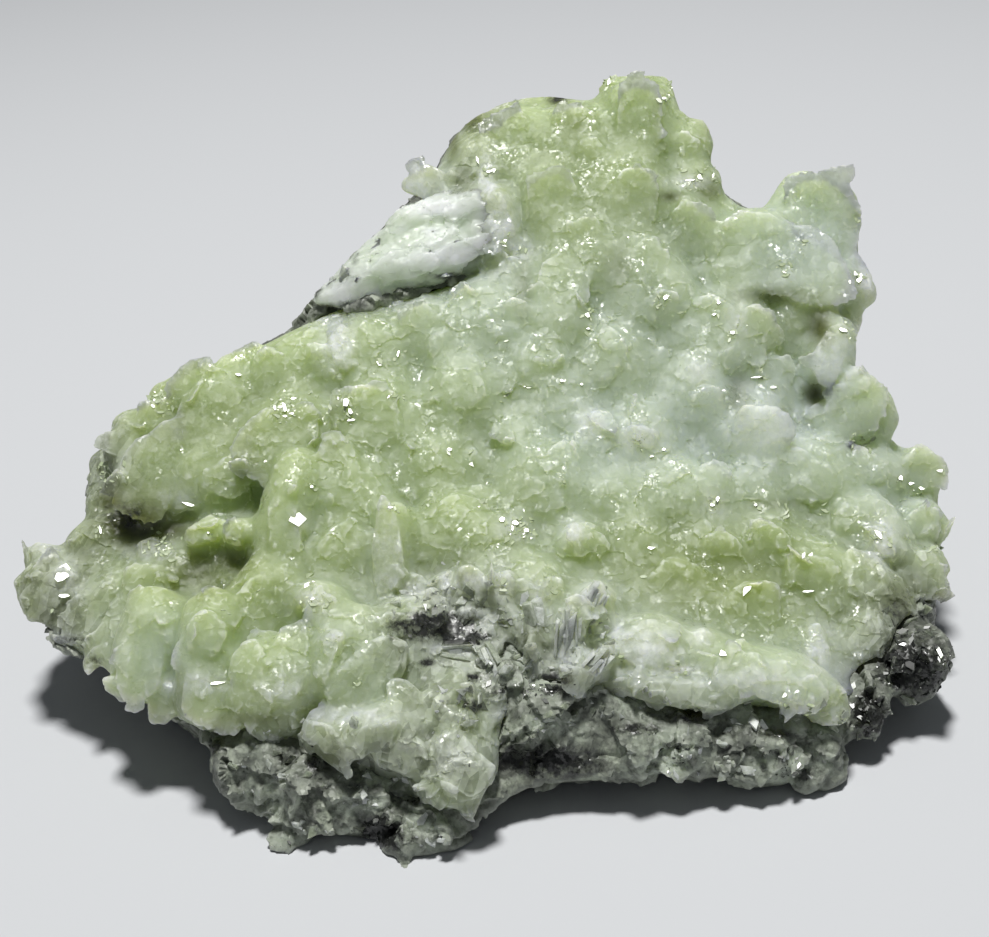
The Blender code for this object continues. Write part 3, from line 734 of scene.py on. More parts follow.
def surface_finder(things, rounds):
    """Returns a function that finds where the view through (across, up) meets the smoothed surfaces."""
    work = bmesh.new()
    for thing in things:
        twin = link(bpy.data.objects.new("twin", thing.data.copy()))
        smoothed(twin, 0.5, rounds)
        work.from_mesh(twin.data)
        bpy.data.objects.remove(twin)
    tree = BVHTree.FromBMesh(work)
    work.free()
    eye = (EYE + CENTRING) * MM

    def find(across, up):
        aim = (spot(across, up, 0.0) - eye).normalized()
        place, normal, _, _ = tree.ray_cast(eye, aim)
        if place is None:
            place, normal, _, _ = tree.find_nearest(spot(across, up, 0.0))
        return place, normal

    return find


def plate_frame(normal, clock, tip, toward_viewer):
    """Axes of a plate: across it, along it, and out of it, for a free end that points to a clock angle."""
    out = (normal.normalized() - LOOK * toward_viewer).normalized()
    way = RIGHT * math.sin(math.radians(clock)) + UP * math.cos(math.radians(clock))
    along = (way - out * way.dot(out)).normalized()
    lean = math.radians(tip)
    tipped_along = along * math.cos(lean) + out * math.sin(lean)
    tipped_out = out * math.cos(lean) - along * math.sin(lean)
    return tipped_along.cross(tipped_out), tipped_along, tipped_out


PLATE_LIFT = 0.2
SHARD_PROFILE = [(0.8, -1.5), (1.0, -0.15), (0.98, 0.28), (0.86, 0.42)]


def petal_plate(work, seed, half_width, half_length, place):
    around = 12 + int(4.0 * (half_width + half_length))
    add_petal(work, seed, around, 0.08, 0.35, 1.0, 0.5, place, PETAL_PROFILE)


def shard_plate(work, seed, half_width, half_length, place):
    """A flat splinter with five to eight sides and a leaning top."""
    dice = random.Random(seed)
    sides = dice.randint(5, 8)
    rim = uneven_rim(dice, sides, 0.3, 0.75, 1.05)
    lean = (dice.uniform(-0.35, 0.35), dice.uniform(-0.35, 0.35))
    loops = []
    for scale, height in SHARD_PROFILE:
        loop = []
        for angle, reach in rim:
            x = math.sin(angle) * reach * scale
            y = math.cos(angle) * reach * scale
            slant = lean[0] * x + lean[1] * y if height > 0.0 else 0.0
            loop.append(work.verts.new(place(Vector((x, y, height + slant)))))
        loops.append(loop)
    close_loops(work, loops)


def lay_plates(thing, rows, find, add_plate, toward_viewer=0.9, thinning=1.0):
    """Joins closed plates to a mesh: each row has a place, half sizes, clock angle, tip and thickness."""
    work = bmesh.new()
    work.from_mesh(thing.data)
    for seed, (across, up, half_width, half_length, clock, tip, thick) in enumerate(rows):
        heart, normal = find(across, up)
        side, along, out = plate_frame(normal, clock, tip, toward_viewer)

        def place(point):
            flat = side * point.x * half_width + along * point.y * half_length
            return heart + (flat + out * (point.z * thick + PLATE_LIFT) * thinning) * MM

        add_plate(work, 100 + seed, half_width, half_length, place)
    bmesh.ops.recalc_face_normals(work, faces=work.faces)
    work.to_mesh(thing.data)
    work.free()
    return thing

# %% [markdown]
# These tables are the specimen's portrait: where each large plate sits on the front view, how wide
# and long it is, where its free end points, how far it tips, and how thick it is. They were
# measured on the view, region by region.

# %% The plates that give the cluster its face
LEFT_FANS = [
    (-38.1, -0.3, 4.8, 6.2, 198, 6, 0.6), (-31.5, 5.5, 5.2, 5.0, 228, 6, 0.6),
    (-33.5, 9.5, 4.2, 2.8, 320, 4, 0.5), (-24.2, 3.0, 5.0, 5.8, 215, 6, 0.6),
    (-24.8, 9.2, 4.8, 4.0, 300, 4, 0.5), (-14.5, 6.0, 4.6, 4.6, 85, 5, 0.5),
    (-18.3, 11.7, 3.6, 3.0, 10, 4, 0.5), (-17.5, -0.3, 4.0, 4.2, 172, 6, 0.6),
    (-11.9, -8.8, 2.3, 5.4, 174, 6, 0.9), (-23.3, -6.6, 2.5, 4.2, 172, 10, 0.7),
    (-31.6, -7.0, 1.6, 3.2, 252, 8, 1.1), (-28.3, -7.1, 1.5, 1.8, 225, 10, 1.2),
    (-35.0, -3.3, 2.2, 2.2, 150, 18, 0.4), (-29.0, -0.5, 3.0, 3.6, 212, 10, 0.5),
    (-36.5, 6.0, 3.0, 3.5, 260, 6, 0.5), (-17.0, 13.5, 1.6, 3.2, 160, 10, 0.6),
    (-28.0, 12.0, 3.4, 2.2, 330, 5, 0.5),
]
LOWER_LEFT_PLATES = [
    (-41.5, -16.0, 2.2, 5.0, 200, 12, 0.6), (-39.3, -21.5, 3.0, 4.9, 190, 10, 0.8),
    (-37.0, -26.0, 2.1, 2.7, 182, 8, 0.8), (-32.0, -18.3, 2.8, 2.5, 205, 10, 0.6),
    (-32.2, -24.0, 3.0, 4.8, 175, 12, 0.9), (-26.8, -16.0, 3.2, 4.5, 200, 10, 0.8),
    (-50.2, -9.5, 1.4, 1.8, 300, 10, 0.9), (-49.5, -14.0, 2.8, 4.0, 220, 6, 0.9),
    (-46.5, -16.5, 1.8, 3.0, 190, 8, 0.6), (-38.5, -13.0, 3.5, 3.0, 350, 8, 1.1),
    (-38.5, -9.0, 1.6, 1.4, 330, 20, 0.8), (-23.8, -24.0, 3.0, 2.4, 170, 14, 0.6),
    (-17.0, -27.2, 1.9, 5.2, 243, 12, 0.6), (-14.0, -22.8, 3.4, 5.5, 235, 6, 0.9),
    (-9.5, -26.5, 3.0, 3.2, 160, 8, 0.8), (-14.0, -30.8, 1.2, 3.0, 250, 15, 0.5),
    (-19.5, -15.2, 2.2, 1.8, 120, 14, 0.5), (-27.5, -21.5, 2.4, 2.6, 210, 10, 0.7),
    (-22.0, -20.0, 3.0, 3.5, 190, 6, 0.7), (-18.0, -19.0, 1.4, 1.1, 110, 18, 0.5),
    (-29.5, -27.0, 2.0, 2.6, 170, 10, 0.8),
]
CENTRE_PLATES = [
    (-8.5, 16.3, 3.0, 2.8, 330, 10, 0.6), (-3.3, 19.0, 1.9, 2.3, 340, 10, 0.6),
    (2.0, 17.3, 2.0, 2.2, 45, 10, 0.5), (8.0, 21.3, 4.2, 4.0, 180, 8, 0.7),
    (5.0, 12.7, 3.0, 2.6, 170, 10, 0.6), (12.0, 12.5, 3.4, 2.8, 130, 8, 0.6),
    (18.2, 12.5, 2.2, 2.0, 200, 10, 0.6), (10.7, 5.2, 1.6, 1.8, 100, 18, 0.5),
    (16.0, 3.2, 2.5, 1.9, 20, 14, 0.5), (15.6, 6.5, 1.2, 1.1, 20, 12, 0.5),
    (20.0, -2.5, 2.2, 3.0, 186, 12, 0.6), (23.6, 7.0, 2.3, 2.8, 10, 10, 0.6),
    (23.0, 2.5, 1.8, 2.2, 200, 14, 0.5), (8.8, -7.1, 1.1, 1.4, 190, 14, 0.8),
    (11.3, -8.3, 1.9, 1.5, 140, 10, 0.7), (24.5, -0.8, 2.4, 2.2, 30, 10, 0.6),
    (-2.5, 1.3, 1.5, 1.1, 60, 12, 0.5), (-8.5, 5.0, 3.2, 3.0, 210, 7, 0.6),
    (-3.5, 9.0, 3.0, 2.8, 160, 7, 0.6), (1.5, 4.5, 2.6, 2.3, 200, 8, 0.6),
    (-14.5, 3.0, 2.8, 3.0, 230, 8, 0.6), (-9.0, -3.0, 2.8, 2.5, 190, 8, 0.6),
    (-15.0, -4.0, 2.6, 2.4, 215, 8, 0.6), (-1.5, -3.5, 2.8, 2.2, 150, 8, 0.6),
    (5.5, -3.0, 2.8, 2.4, 170, 8, 0.6), (13.0, -3.0, 2.5, 2.2, 200, 8, 0.6),
    (8.0, 1.5, 2.0, 1.8, 220, 10, 0.5), (-17.0, -8.0, 2.6, 2.8, 200, 8, 0.6),
    (-5.5, 13.5, 2.5, 2.2, 330, 8, 0.6),
]
APEX_PLATES = [
    (16.0, 39.8, 3.9, 4.4, 0, 2, 0.9), (10.8, 34.7, 2.0, 2.8, 0, 6, 0.8),
    (8.5, 38.8, 3.2, 2.6, 0, 2, 0.6), (1.5, 36.5, 4.0, 4.6, 330, 4, 0.8),
    (20.5, 35.0, 2.2, 3.2, 30, 6, 0.7), (15.5, 30.0, 3.6, 4.8, 10, 4, 0.8),
    (6.5, 30.5, 3.6, 4.4, 350, 5, 0.7), (22.0, 26.5, 3.6, 3.8, 20, 6, 0.8),
    (10.5, 26.0, 2.4, 3.0, 340, 5, 0.5), (17.0, 23.5, 2.6, 3.0, 200, 6, 0.5),
    (0.0, 26.0, 2.0, 3.4, 190, 6, 0.5),
]
WING_PLATES = [
    (36.8, 26.0, 5.2, 7.6, 6, -3, 1.3), (29.0, 24.6, 5.4, 4.6, 320, -2, 1.0),
    (36.0, 28.6, 5.6, 5.4, 5, 3, 0.6), (29.5, 25.3, 4.6, 5.2, 300, 4, 0.6),
    (35.2, 22.4, 5.8, 5.8, 168, 5, 0.7), (30.8, 22.6, 4.2, 4.0, 205, 6, 0.6),
    (40.6, 22.0, 1.6, 3.6, 175, 4, 0.6), (37.3, 12.7, 2.3, 4.2, 204, 6, 0.9),
    (26.0, 25.0, 3.2, 3.6, 290, 5, 0.5), (29.5, 15.5, 2.9, 3.0, 0, 6, 0.6),
    (24.0, 17.4, 2.6, 2.5, 30, 8, 0.6), (19.0, 18.0, 2.0, 2.2, 340, 10, 0.5),
    (21.5, 14.0, 2.6, 2.4, 340, 8, 0.6), (31.5, 10.8, 3.0, 2.3, 340, 8, 0.6),
    (26.3, 11.3, 2.2, 2.2, 10, 8, 0.6), (33.5, 16.8, 2.4, 1.8, 160, 8, 0.5),
]
RIGHT_PLATES = [
    (40.0, 7.0, 4.3, 4.2, 35, 3, 0.9), (37.4, 6.2, 2.5, 2.7, 230, 6, 0.5),
    (30.0, 4.2, 4.1, 3.4, 28, 10, 0.7), (34.0, -0.8, 4.8, 3.4, 185, 6, 0.8),
    (41.0, 0.3, 3.0, 2.7, 160, 8, 0.7), (47.3, -0.2, 3.2, 3.4, 55, 4, 0.8),
    (43.0, -8.0, 1.1, 2.3, 148, 14, 0.6), (35.0, -12.0, 3.4, 3.0, 15, 8, 0.8),
    (30.0, -8.0, 2.8, 2.3, 20, 10, 0.6), (41.5, -12.0, 2.8, 3.9, 166, 6, 0.8),
    (48.4, -12.0, 2.5, 3.0, 172, 4, 0.8), (36.0, -19.8, 1.5, 2.9, 174, 10, 0.8),
    (47.5, -6.0, 2.2, 2.4, 70, 8, 0.6), (39.5, -5.5, 2.4, 2.0, 170, 10, 0.6),
    (29.0, -15.0, 4.0, 3.0, 190, 4, 0.6), (20.5, -12.5, 4.2, 2.8, 200, 4, 0.6),
    (25.0, -9.0, 2.6, 2.2, 30, 8, 0.5),
]
EVEN_THINNING = 0.5
APEX_THINNING = 0.3
VEIN_EDGE_PLATES = [
    (0.4, 28.3, 2.0, 3.0, 160, 4, 0.8), (-0.8, 31.8, 1.2, 2.6, 350, 4, 0.8),
    (2.0, 25.2, 1.3, 2.4, 110, 4, 0.8), (-7.4, 31.7, 2.6, 2.8, 290, 2, 1.5),
    (2.8, 30.6, 1.6, 2.2, 20, 4, 0.7), (-4.8, 31.4, 1.6, 2.2, 330, 4, 0.7),
    (-2.8, 22.0, 1.5, 2.6, 62, 4, 1.0), (0.4, 23.0, 1.6, 2.4, 80, 4, 1.0),
]
LOWER_EDGE_PLATES = [
    (17.5, -19.6, 4.0, 2.9, 176, 12, 0.8), (22.2, -20.6, 2.6, 2.6, 170, 12, 0.6),
    (23.2, -18.8, 1.1, 1.2, 10, 10, 0.7), (27.3, -22.5, 3.6, 2.5, 168, 10, 0.8),
    (31.6, -23.8, 3.2, 2.4, 172, 12, 0.7), (35.0, -25.2, 2.8, 1.9, 150, 14, 0.6),
    (11.0, -14.3, 2.0, 1.6, 80, 14, 0.7), (0.8, -13.0, 1.2, 2.0, 20, 12, 0.7),
    (-2.4, -12.6, 1.9, 1.1, 20, 16, 0.6), (-5.5, -14.2, 2.2, 1.9, 330, 10, 0.7),
    (11.5, -21.6, 0.8, 2.6, 217, 10, 1.1), (8.0, -19.0, 1.2, 3.4, 8, 10, 0.7),
    (-4.5, -31.8, 2.8, 2.4, 170, 8, 0.9), (-8.5, -31.0, 2.0, 2.2, 210, 10, 0.6),
]

# %% [markdown]
# White bruised edges, pale altered rock and black pockets are only colour, so they are spots and
# not shapes. The white spots also paint glints where crystal faces mirror the lamp, and the black
# spots also paint shade in hollows, under rims and in the cavity under the rock's front edge.
# The tables come before the splinters, because a splinter takes its tone from the place where it
# broke.

# %% Where the stone is white, pale or black, and where glints and shade are painted
# Partly white bruised crystal, partly painted glints where crystal faces mirror the lamp
WHITE_AND_GLINT_SPOTS = [
    (1.0, 27.0, 1.6, 3.4, 0.9), (-0.8, 31.8, 1.0, 2.6, 0.9), (2.2, 24.3, 2.2, 0.9, 0.9),
    (-8.0, 31.5, 2.6, 1.7, 0.4), (-11.9, -9.4, 1.9, 3.8, 0.45), (-17.5, 14.0, 1.6, 3.0, 1.0),
    (5.0, -15.0, 1.6, 2.6, 0.7), (13.6, -18.4, 0.8, 1.8, 0.9), (43.0, -8.0, 1.5, 2.4, 1.0),
    (8.0, -19.5, 1.2, 3.4, 1.0), (17.0, -20.0, 3.6, 2.4, 0.8), (20.5, -22.3, 2.4, 0.6, 1.0),
    (11.3, -14.0, 1.9, 1.3, 1.0), (8.8, -7.0, 1.2, 1.4, 1.0), (-2.4, -12.6, 2.0, 0.9, 1.0),
    (-5.5, -13.0, 0.6, 1.3, 1.0), (0.8, -13.0, 1.1, 2.0, 0.8), (11.5, -21.6, 1.1, 2.2, 1.0),
    (16.0, 3.2, 2.4, 1.7, 0.8), (10.7, 5.2, 1.5, 1.6, 0.8), (30.0, 4.5, 4.0, 3.0, 0.6),
    (-47.8, -12.0, 1.2, 2.0, 1.0), (-50.0, -9.0, 1.6, 1.4, 0.8), (-32.0, -24.0, 2.2, 1.0, 0.8),
    (-36.5, -24.0, 1.3, 0.7, 0.8), (-23.5, -24.3, 2.8, 1.6, 0.6), (-15.0, -27.5, 4.0, 0.9, 0.7),
    (37.3, 12.5, 2.2, 4.0, 0.6), (41.0, 21.0, 1.1, 2.6, 0.9), (29.0, -23.3, 5.0, 1.4, 0.6),
    (34.0, -26.5, 2.4, 0.7, 0.9), (-12.0, -12.8, 1.4, 1.2, 0.9), (-20.0, -14.8, 2.0, 1.6, 0.8),
    (-18.0, -18.8, 1.2, 0.8, 0.8), (-4.0, -31.5, 2.0, 1.4, 0.6), (36.0, -20.0, 1.4, 2.8, 0.7),
    (23.0, -18.8, 1.1, 1.1, 0.7), (-21.5, -6.2, 1.0, 1.2, 0.8), (-38.0, -9.0, 2.4, 1.2, 0.7),
    (21.8, 31.8, 2.4, 0.6, 0.9), (27.0, 16.5, 1.0, 2.0, 0.7), (24.5, -4.0, 1.2, 1.4, 0.7),
    (2.5, -6.7, 2.0, 1.2, 0.6), (-35.0, -3.0, 2.0, 1.6, 0.5), (-5.0, -20.0, 3.0, 0.6, 0.8),
    (-9.0, -13.5, 3.5, 0.9, 0.6), (22.8, 10.8, 1.6, 1.6, 0.6), (-48.5, -18.8, 2.0, 0.8, 0.6),
    (12.5, -25.5, 3.0, 1.0, 0.5), (-3.3, -16.0, 4.0, 1.6, 0.3), (4.5, -27.5, 3.5, 1.4, 0.5),
]
# Black pockets of the broken front, with painted shade in the left hollow and under the left rims
BLACK_AND_SHADE_SPOTS = [
    (-6.6, -17.5, 4.4, 1.5, 1.4), (-3.6, -18.8, 3.0, 0.8, 1.4), (-7.4, -21.6, 0.9, 0.5, 1.0),
    (-2.2, -26.4, 1.3, 0.7, 1.0), (-1.8, -23.2, 1.6, 0.6, 1.0), (0.2, -24.8, 1.4, 0.6, 1.0),
    (6.5, -23.4, 2.6, 1.1, 0.9), (3.5, -26.0, 1.6, 0.8, 0.9), (9.5, -27.0, 1.8, 0.8, 0.8),
    (16.0, -28.8, 3.0, 0.8, 1.0), (22.0, -27.4, 1.8, 0.9, 0.9), (41.5, -27.0, 2.0, 2.6, 1.0),
    (44.5, -16.0, 1.6, 2.4, 0.6), (46.5, -22.0, 4.0, 3.2, 1.0), (50.0, -16.0, 1.6, 2.0, 0.8),
    (-40.5, -5.5, 3.5, 2.0, 0.7), (-47.5, -19.0, 3.0, 0.6, 0.7), (7.1, 41.3, 1.2, 0.7, 0.9),
    (-44.8, -21.5, 1.5, 0.8, 0.7), (-11.0, -18.5, 1.5, 1.0, 0.6), (1.5, -20.5, 1.8, 1.0, 0.6),
]
PALE_ROCK_SPOTS = [
    (19.0, -32.0, 4.5, 3.0, 1.0), (33.0, -33.0, 5.0, 2.4, 1.0), (17.0, -25.5, 4.5, 2.0, 1.0),
    (6.0, -28.8, 5.0, 1.5, 0.8), (-5.0, -24.0, 3.0, 3.0, 0.7), (-5.5, -28.5, 2.4, 3.0, 1.0),
    (1.0, -20.5, 3.0, 1.6, 0.7), (8.0, -19.0, 1.6, 4.0, 0.9), (30.0, -27.5, 6.0, 1.2, 0.6),
    (4.0, -22.0, 7.0, 4.0, 0.75), (-13.0, -34.5, 5.0, 2.0, 0.5), (-25.0, -37.0, 3.0, 4.0, 0.7),
    (-8.0, -40.0, 3.4, 3.0, 0.9), (-23.5, -42.0, 2.4, 2.4, 0.8), (-14.0, -37.2, 3.4, 0.9, 1.0),
    (-16.5, -38.0, 1.2, 2.6, 0.7), (-26.0, -30.0, 2.6, 2.0, 0.7), (-13.0, -32.0, 4.0, 1.4, 0.7),
    (11.5, -21.5, 1.4, 2.4, 1.0), (-1.0, -20.5, 0.7, 2.0, 1.0), (36.0, -28.8, 4.0, 1.0, 0.7),
    (38.5, -24.5, 2.0, 1.6, 0.6),
]
# Glossy black lumps, with painted shadow in the cavity under the overhanging front edge
BLACK_ROCK_AND_SHADOW_SPOTS = [
    (46.5, -22.0, 4.0, 3.4, 1.2), (41.5, -27.5, 2.2, 2.6, 1.2), (-12.6, -40.5, 2.4, 2.0, 1.3),
    (5.0, -32.5, 8.0, 2.0, 1.0), (-20.0, -32.0, 0.9, 2.6, 1.0), (22.0, -27.5, 2.0, 0.9, 1.0),
    (15.5, -28.9, 3.0, 0.7, 1.0), (31.0, -29.5, 3.0, 0.6, 0.8), (8.0, -24.5, 3.0, 1.0, 1.0),
    (-2.2, -26.5, 1.2, 0.7, 1.0), (-1.0, -24.0, 2.0, 0.7, 1.0), (-6.0, -17.5, 3.4, 1.2, 1.2),
    (-31.0, -31.0, 1.4, 2.0, 0.7), (-20.5, -42.8, 1.4, 0.8, 1.0), (-9.0, -36.8, 2.0, 0.8, 0.7),
    (-23.0, -32.0, 2.0, 1.6, 0.6), (45.0, -14.0, 4.0, 1.6, 0.6), (50.0, -16.0, 1.6, 2.0, 0.8),
]

# %% [markdown]
# Splinters and glinting faces both lie thickly in some places and thinly in others, with more small
# ones than large. One tree serves both. It can lay a piece along the surface, or lean it toward the
# direction that throws the lamp's light to the eye.

# %% A tree that scatters small pieces


def scatter():
    """Scatters small pieces over a surface, as thickly as a mark says, most of them small."""
    tree, given, result = new_tree(
        "scatter_pieces",
        [
            ("Where", "NodeSocketString"), ("Spacing", FLOAT), ("Smallest", FLOAT), ("Largest", FLOAT),
            ("Spread", FLOAT), ("Follow", FLOAT), ("Lean", FLOAT), ("Seed", INTEGER),
            ("Kinds", "NodeSocketCollection"), ("Finish", "NodeSocketMaterial"),
        ],
    )
    mark = add_node(
        tree, "GeometryNodeInputNamedAttribute", {"Name": given.outputs["Where"]}, data_type="FLOAT"
    )
    density = maths(tree, "POWER", maths(tree, "DIVIDE", 1.0, given.outputs["Spacing"]), 2.0)
    density = maths(tree, "MULTIPLY", density, maths(tree, "POWER", mark.outputs["Attribute"], 2.0))
    points = add_node(
        tree,
        "GeometryNodeDistributePointsOnFaces",
        {"Mesh": given.outputs["Geometry"], "Density": density, "Seed": given.outputs["Seed"]},
        distribute_method="RANDOM",
    )
    half_way = vectors(tree, "SCALE", points.outputs["Normal"], given.outputs["Follow"])
    glance = add_node(
        tree, "GeometryNodeInputNamedAttribute", {"Name": "glance"}, data_type="FLOAT_VECTOR"
    )
    leaning = vectors(tree, "SCALE", glance.outputs["Attribute"], given.outputs["Lean"])
    half_way = vectors(tree, "ADD", half_way, leaning)
    facing = add_node(tree, "FunctionNodeAlignRotationToVector", {"Vector": half_way}, axis="Z")
    spread = given.outputs["Spread"]
    less = maths(tree, "MULTIPLY", spread, -1.0)
    low = add_node(tree, "ShaderNodeCombineXYZ", {0: less, 1: less, 2: 0.0})
    high = add_node(tree, "ShaderNodeCombineXYZ", {0: spread, 1: spread, 2: math.tau})
    wobble = add_node(
        tree,
        "FunctionNodeRandomValue",
        {0: low.outputs[0], 1: high.outputs[0], "Seed": given.outputs["Seed"]},
        data_type="FLOAT_VECTOR",
    )
    turned = add_node(
        tree,
        "FunctionNodeRotateRotation",
        {0: facing.outputs[0], 1: wobble.outputs[0]},
        rotation_space="LOCAL",
    )
    chance = add_node(tree, "FunctionNodeRandomValue", {"Seed": given.outputs["Seed"]}, data_type="FLOAT")
    size = add_node(
        tree,
        "ShaderNodeMapRange",
        {
            "Value": maths(tree, "POWER", chance.outputs[1], 2.5),
            "To Min": given.outputs["Smallest"],
            "To Max": given.outputs["Largest"],
        },
    )
    own = add_node(tree, "FunctionNodeRandomValue", {"Seed": 99}, data_type="FLOAT")
    marked = add_node(
        tree,
        "GeometryNodeStoreNamedAttribute",
        {"Geometry": points.outputs["Points"], "Name": "own", 3: own.outputs[1]},
        data_type="FLOAT",
        domain="POINT",
    )
    kinds = add_node(
        tree,
        "GeometryNodeCollectionInfo",
        {"Collection": given.outputs["Kinds"], "Separate Children": True, "Reset Children": True},
    )
    placed = add_node(
        tree,
        "GeometryNodeInstanceOnPoints",
        {
            "Points": marked.outputs[0],
            "Instance": kinds.outputs[0],
            "Pick Instance": True,
            "Rotation": turned.outputs[0],
            "Scale": size.outputs[0],
        },
    )
    return end_tree(tree, placed.outputs[0], given, result)


scatter_pieces = scatter()
print("scattering:", len(scatter_pieces.nodes), "nodes")

# %% [markdown]
# A splinter is a slim broken block with three to five sides and a slanting top. It has few faces,
# because it is repeated hundreds of times.

# %% Kinds of splinters


def splinter_kind(name, seed, sides, box):
    """A broken blade: a slim block with a slanting top, along y."""
    dice = random.Random(seed)
    work = bmesh.new()
    slim = dice.uniform(0.3, 0.8)
    rim = uneven_rim(dice, sides, 0.3, 0.75, 1.0)
    slant = dice.uniform(-0.25, 0.25)
    rings = []
    for scale, height in ((0.8, -0.4), (1.0, 0.0), (0.88, 0.14)):
        ring = []
        for angle, reach in rim:
            x = math.sin(angle) * reach * scale * slim
            y = math.cos(angle) * reach * scale
            ring.append(work.verts.new((x, y, height + (slant * y if height > 0.0 else 0.0))))
        rings.append(ring)
    close_loops(work, rings)
    box.objects.link(bpy.data.objects.new(name, finished_mesh(work, name)))


splinters = bpy.data.collections.new("splinters")
bpy.context.scene.collection.children.link(splinters)
for seed, sides in ((31, 3), (32, 4), (33, 5), (34, 3), (35, 4), (36, 5), (37, 4), (38, 3)):
    splinter_kind("splinter_" + str(seed), seed, sides, splinters)

# %% [markdown]
# The front edge, the rims and the seam of the vein are broken, and the grown faces are not. One
# table says how thickly the splinters lie, and every splinter is marked with a tone, from black
# pocket to white bruise; the tone also carries the painted shade and painted glints of the spot
# tables.

# %% Where the splinters lie
# Each row: across, up, half width, half height, how thickly the splinters lie
SPLINTER_SPOTS = [
    (-4.0, -15.0, 9.0, 3.5, 1.0), (3.0, -20.0, 10.0, 7.0, 1.0), (10.0, -18.0, 5.0, 5.0, 0.9),
    (-9.0, -17.0, 4.0, 3.0, 0.8), (14.0, -26.0, 8.0, 3.0, 0.9), (-4.0, -26.0, 5.0, 5.0, 1.0),
    (5.0, -28.0, 7.0, 3.0, 0.9), (-4.0, -34.0, 4.5, 3.5, 0.7), (-24.0, -33.0, 8.0, 5.0, 0.8),
    (-15.0, -36.0, 10.0, 5.0, 0.8), (-20.0, -41.0, 6.0, 4.0, 0.8), (-8.0, -41.0, 5.0, 3.0, 0.9),
    (30.0, -28.0, 10.0, 3.0, 0.8), (26.0, -33.0, 14.0, 3.0, 0.8), (46.0, -20.0, 5.0, 6.0, 0.9),
    (41.0, -27.0, 3.0, 4.0, 0.9), (-49.0, -14.0, 3.5, 7.0, 0.35), (-43.0, 2.0, 3.0, 8.0, 0.5),
    (-46.0, -20.0, 6.0, 2.5, 0.5), (-17.0, 18.5, 5.0, 2.4, 0.6), (-15.0, 24.0, 4.0, 2.5, 0.6),
    (-3.5, 38.0, 2.0, 4.0, 0.5), (22.5, 33.0, 2.6, 5.0, 0.4), (22.0, 31.2, 3.0, 1.0, 0.7),
    (18.0, -29.0, 6.0, 2.0, 0.8), (47.5, -12.0, 3.0, 3.0, 0.4), (30.0, -22.5, 9.0, 1.6, 0.35),
    (-12.0, -12.5, 4.0, 1.2, 0.5), (-12.0, -29.5, 12.0, 1.6, 0.5), (-33.0, -27.5, 6.0, 1.4, 0.4),
    (-38.0, 8.0, 4.0, 1.6, 0.5),
]


SPLINTER_CLEARANCE = 1.2


def mark_splinters(thing):
    """Marks how thickly the splinters lie, and how pale they are there."""
    places = points_of(thing)
    front = facing_front(thing) * np.clip(places[:, 2] / MM - SPLINTER_CLEARANCE, 0.0, 1.0)
    pale = np.maximum(spotted(places, WHITE_AND_GLINT_SPOTS), spotted(places, PALE_ROCK_SPOTS))
    dark_and_shade = np.maximum(spotted(places, BLACK_AND_SHADE_SPOTS), spotted(places, BLACK_ROCK_AND_SHADOW_SPOTS))
    store(thing, "splintered", np.clip(1.4 * spotted(places, SPLINTER_SPOTS) - 0.4, 0.0, 1.0) * front)
    # The tone carries painted shade from the black spots and painted glints from the white spots
    store(thing, "tone", np.clip(0.66 + 0.32 * pale - 0.66 * dark_and_shade, 0.0, 1.0))


def join_in(thing, others):
    """Adds the meshes of other things to a mesh."""
    work = bmesh.new()
    work.from_mesh(thing.data)
    for other in others:
        work.from_mesh(other.data)
        bpy.data.objects.remove(other)
    work.to_mesh(thing.data)
    work.free()
    return thing


def splintered_copy(source, name, spacing, smallest, largest, spread, seed, finish=None):
    """A mesh of splinters that lie on a surface where it is broken."""
    mark_splinters(source)
    piece = link(bpy.data.objects.new(name, source.data.copy()))
    return run_tree(piece, scatter_pieces, {
        "Where": "splintered", "Spacing": spacing * MM, "Smallest": smallest * MM, "Largest": largest * MM,
        "Spread": spread, "Follow": 1.0, "Lean": 0.0, "Seed": seed, "Kinds": splinters,
        "Finish": finish,
    })


def grow_splinters(thing, spacing, smallest, largest, spread, seed):
    return join_in(thing, [splintered_copy(thing, "growth", spacing, smallest, largest, spread, seed)])

# %% [markdown]
# Some parts of the crust grew as one even sheet. Smoothing the whole skin would melt its folds, so
# a vertex group limits the smoothing to those parts. The broken front has its own flat shards.

# %% Helpers for the crust
MOST_TRIANGLES = 195000


def petal_sizes(kinds, spacing, smallest, largest, lift, least_tip, most_tip, turn, seed):
    """The inputs of the petal tree, with lengths in millimetres and angles in radians."""
    return {
        "Kinds": kinds, "Spacing": spacing * MM, "Smallest": smallest * MM, "Largest": largest * MM,
        "Lift": lift * MM, "Least Tip": least_tip, "Most Tip": most_tip, "Turn": turn, "Seed": seed,
    }


CALM_SPOTS = [
    (2.0, 2.0, 20.0, 13.0, 1.0), (22.0, 10.0, 12.0, 8.0, 1.0), (8.0, 30.0, 12.0, 10.0, 1.0),
    (22.0, -10.0, 14.0, 8.0, 1.0), (-27.0, 6.0, 11.0, 7.0, 1.0), (33.0, 24.0, 8.0, 7.0, 0.8),
]


def calmed(thing, rounds):
    """Smooths only the parts of the front where the crust grew in one even sheet."""
    calm = weigh_points(thing, "calm", spotted(points_of(thing), CALM_SPOTS))
    step = thing.modifiers.new("calm", "SMOOTH")
    step.factor = 0.8
    step.iterations = rounds
    step.vertex_group = calm
    bake(thing)
    thing.vertex_groups.clear()
    return thing


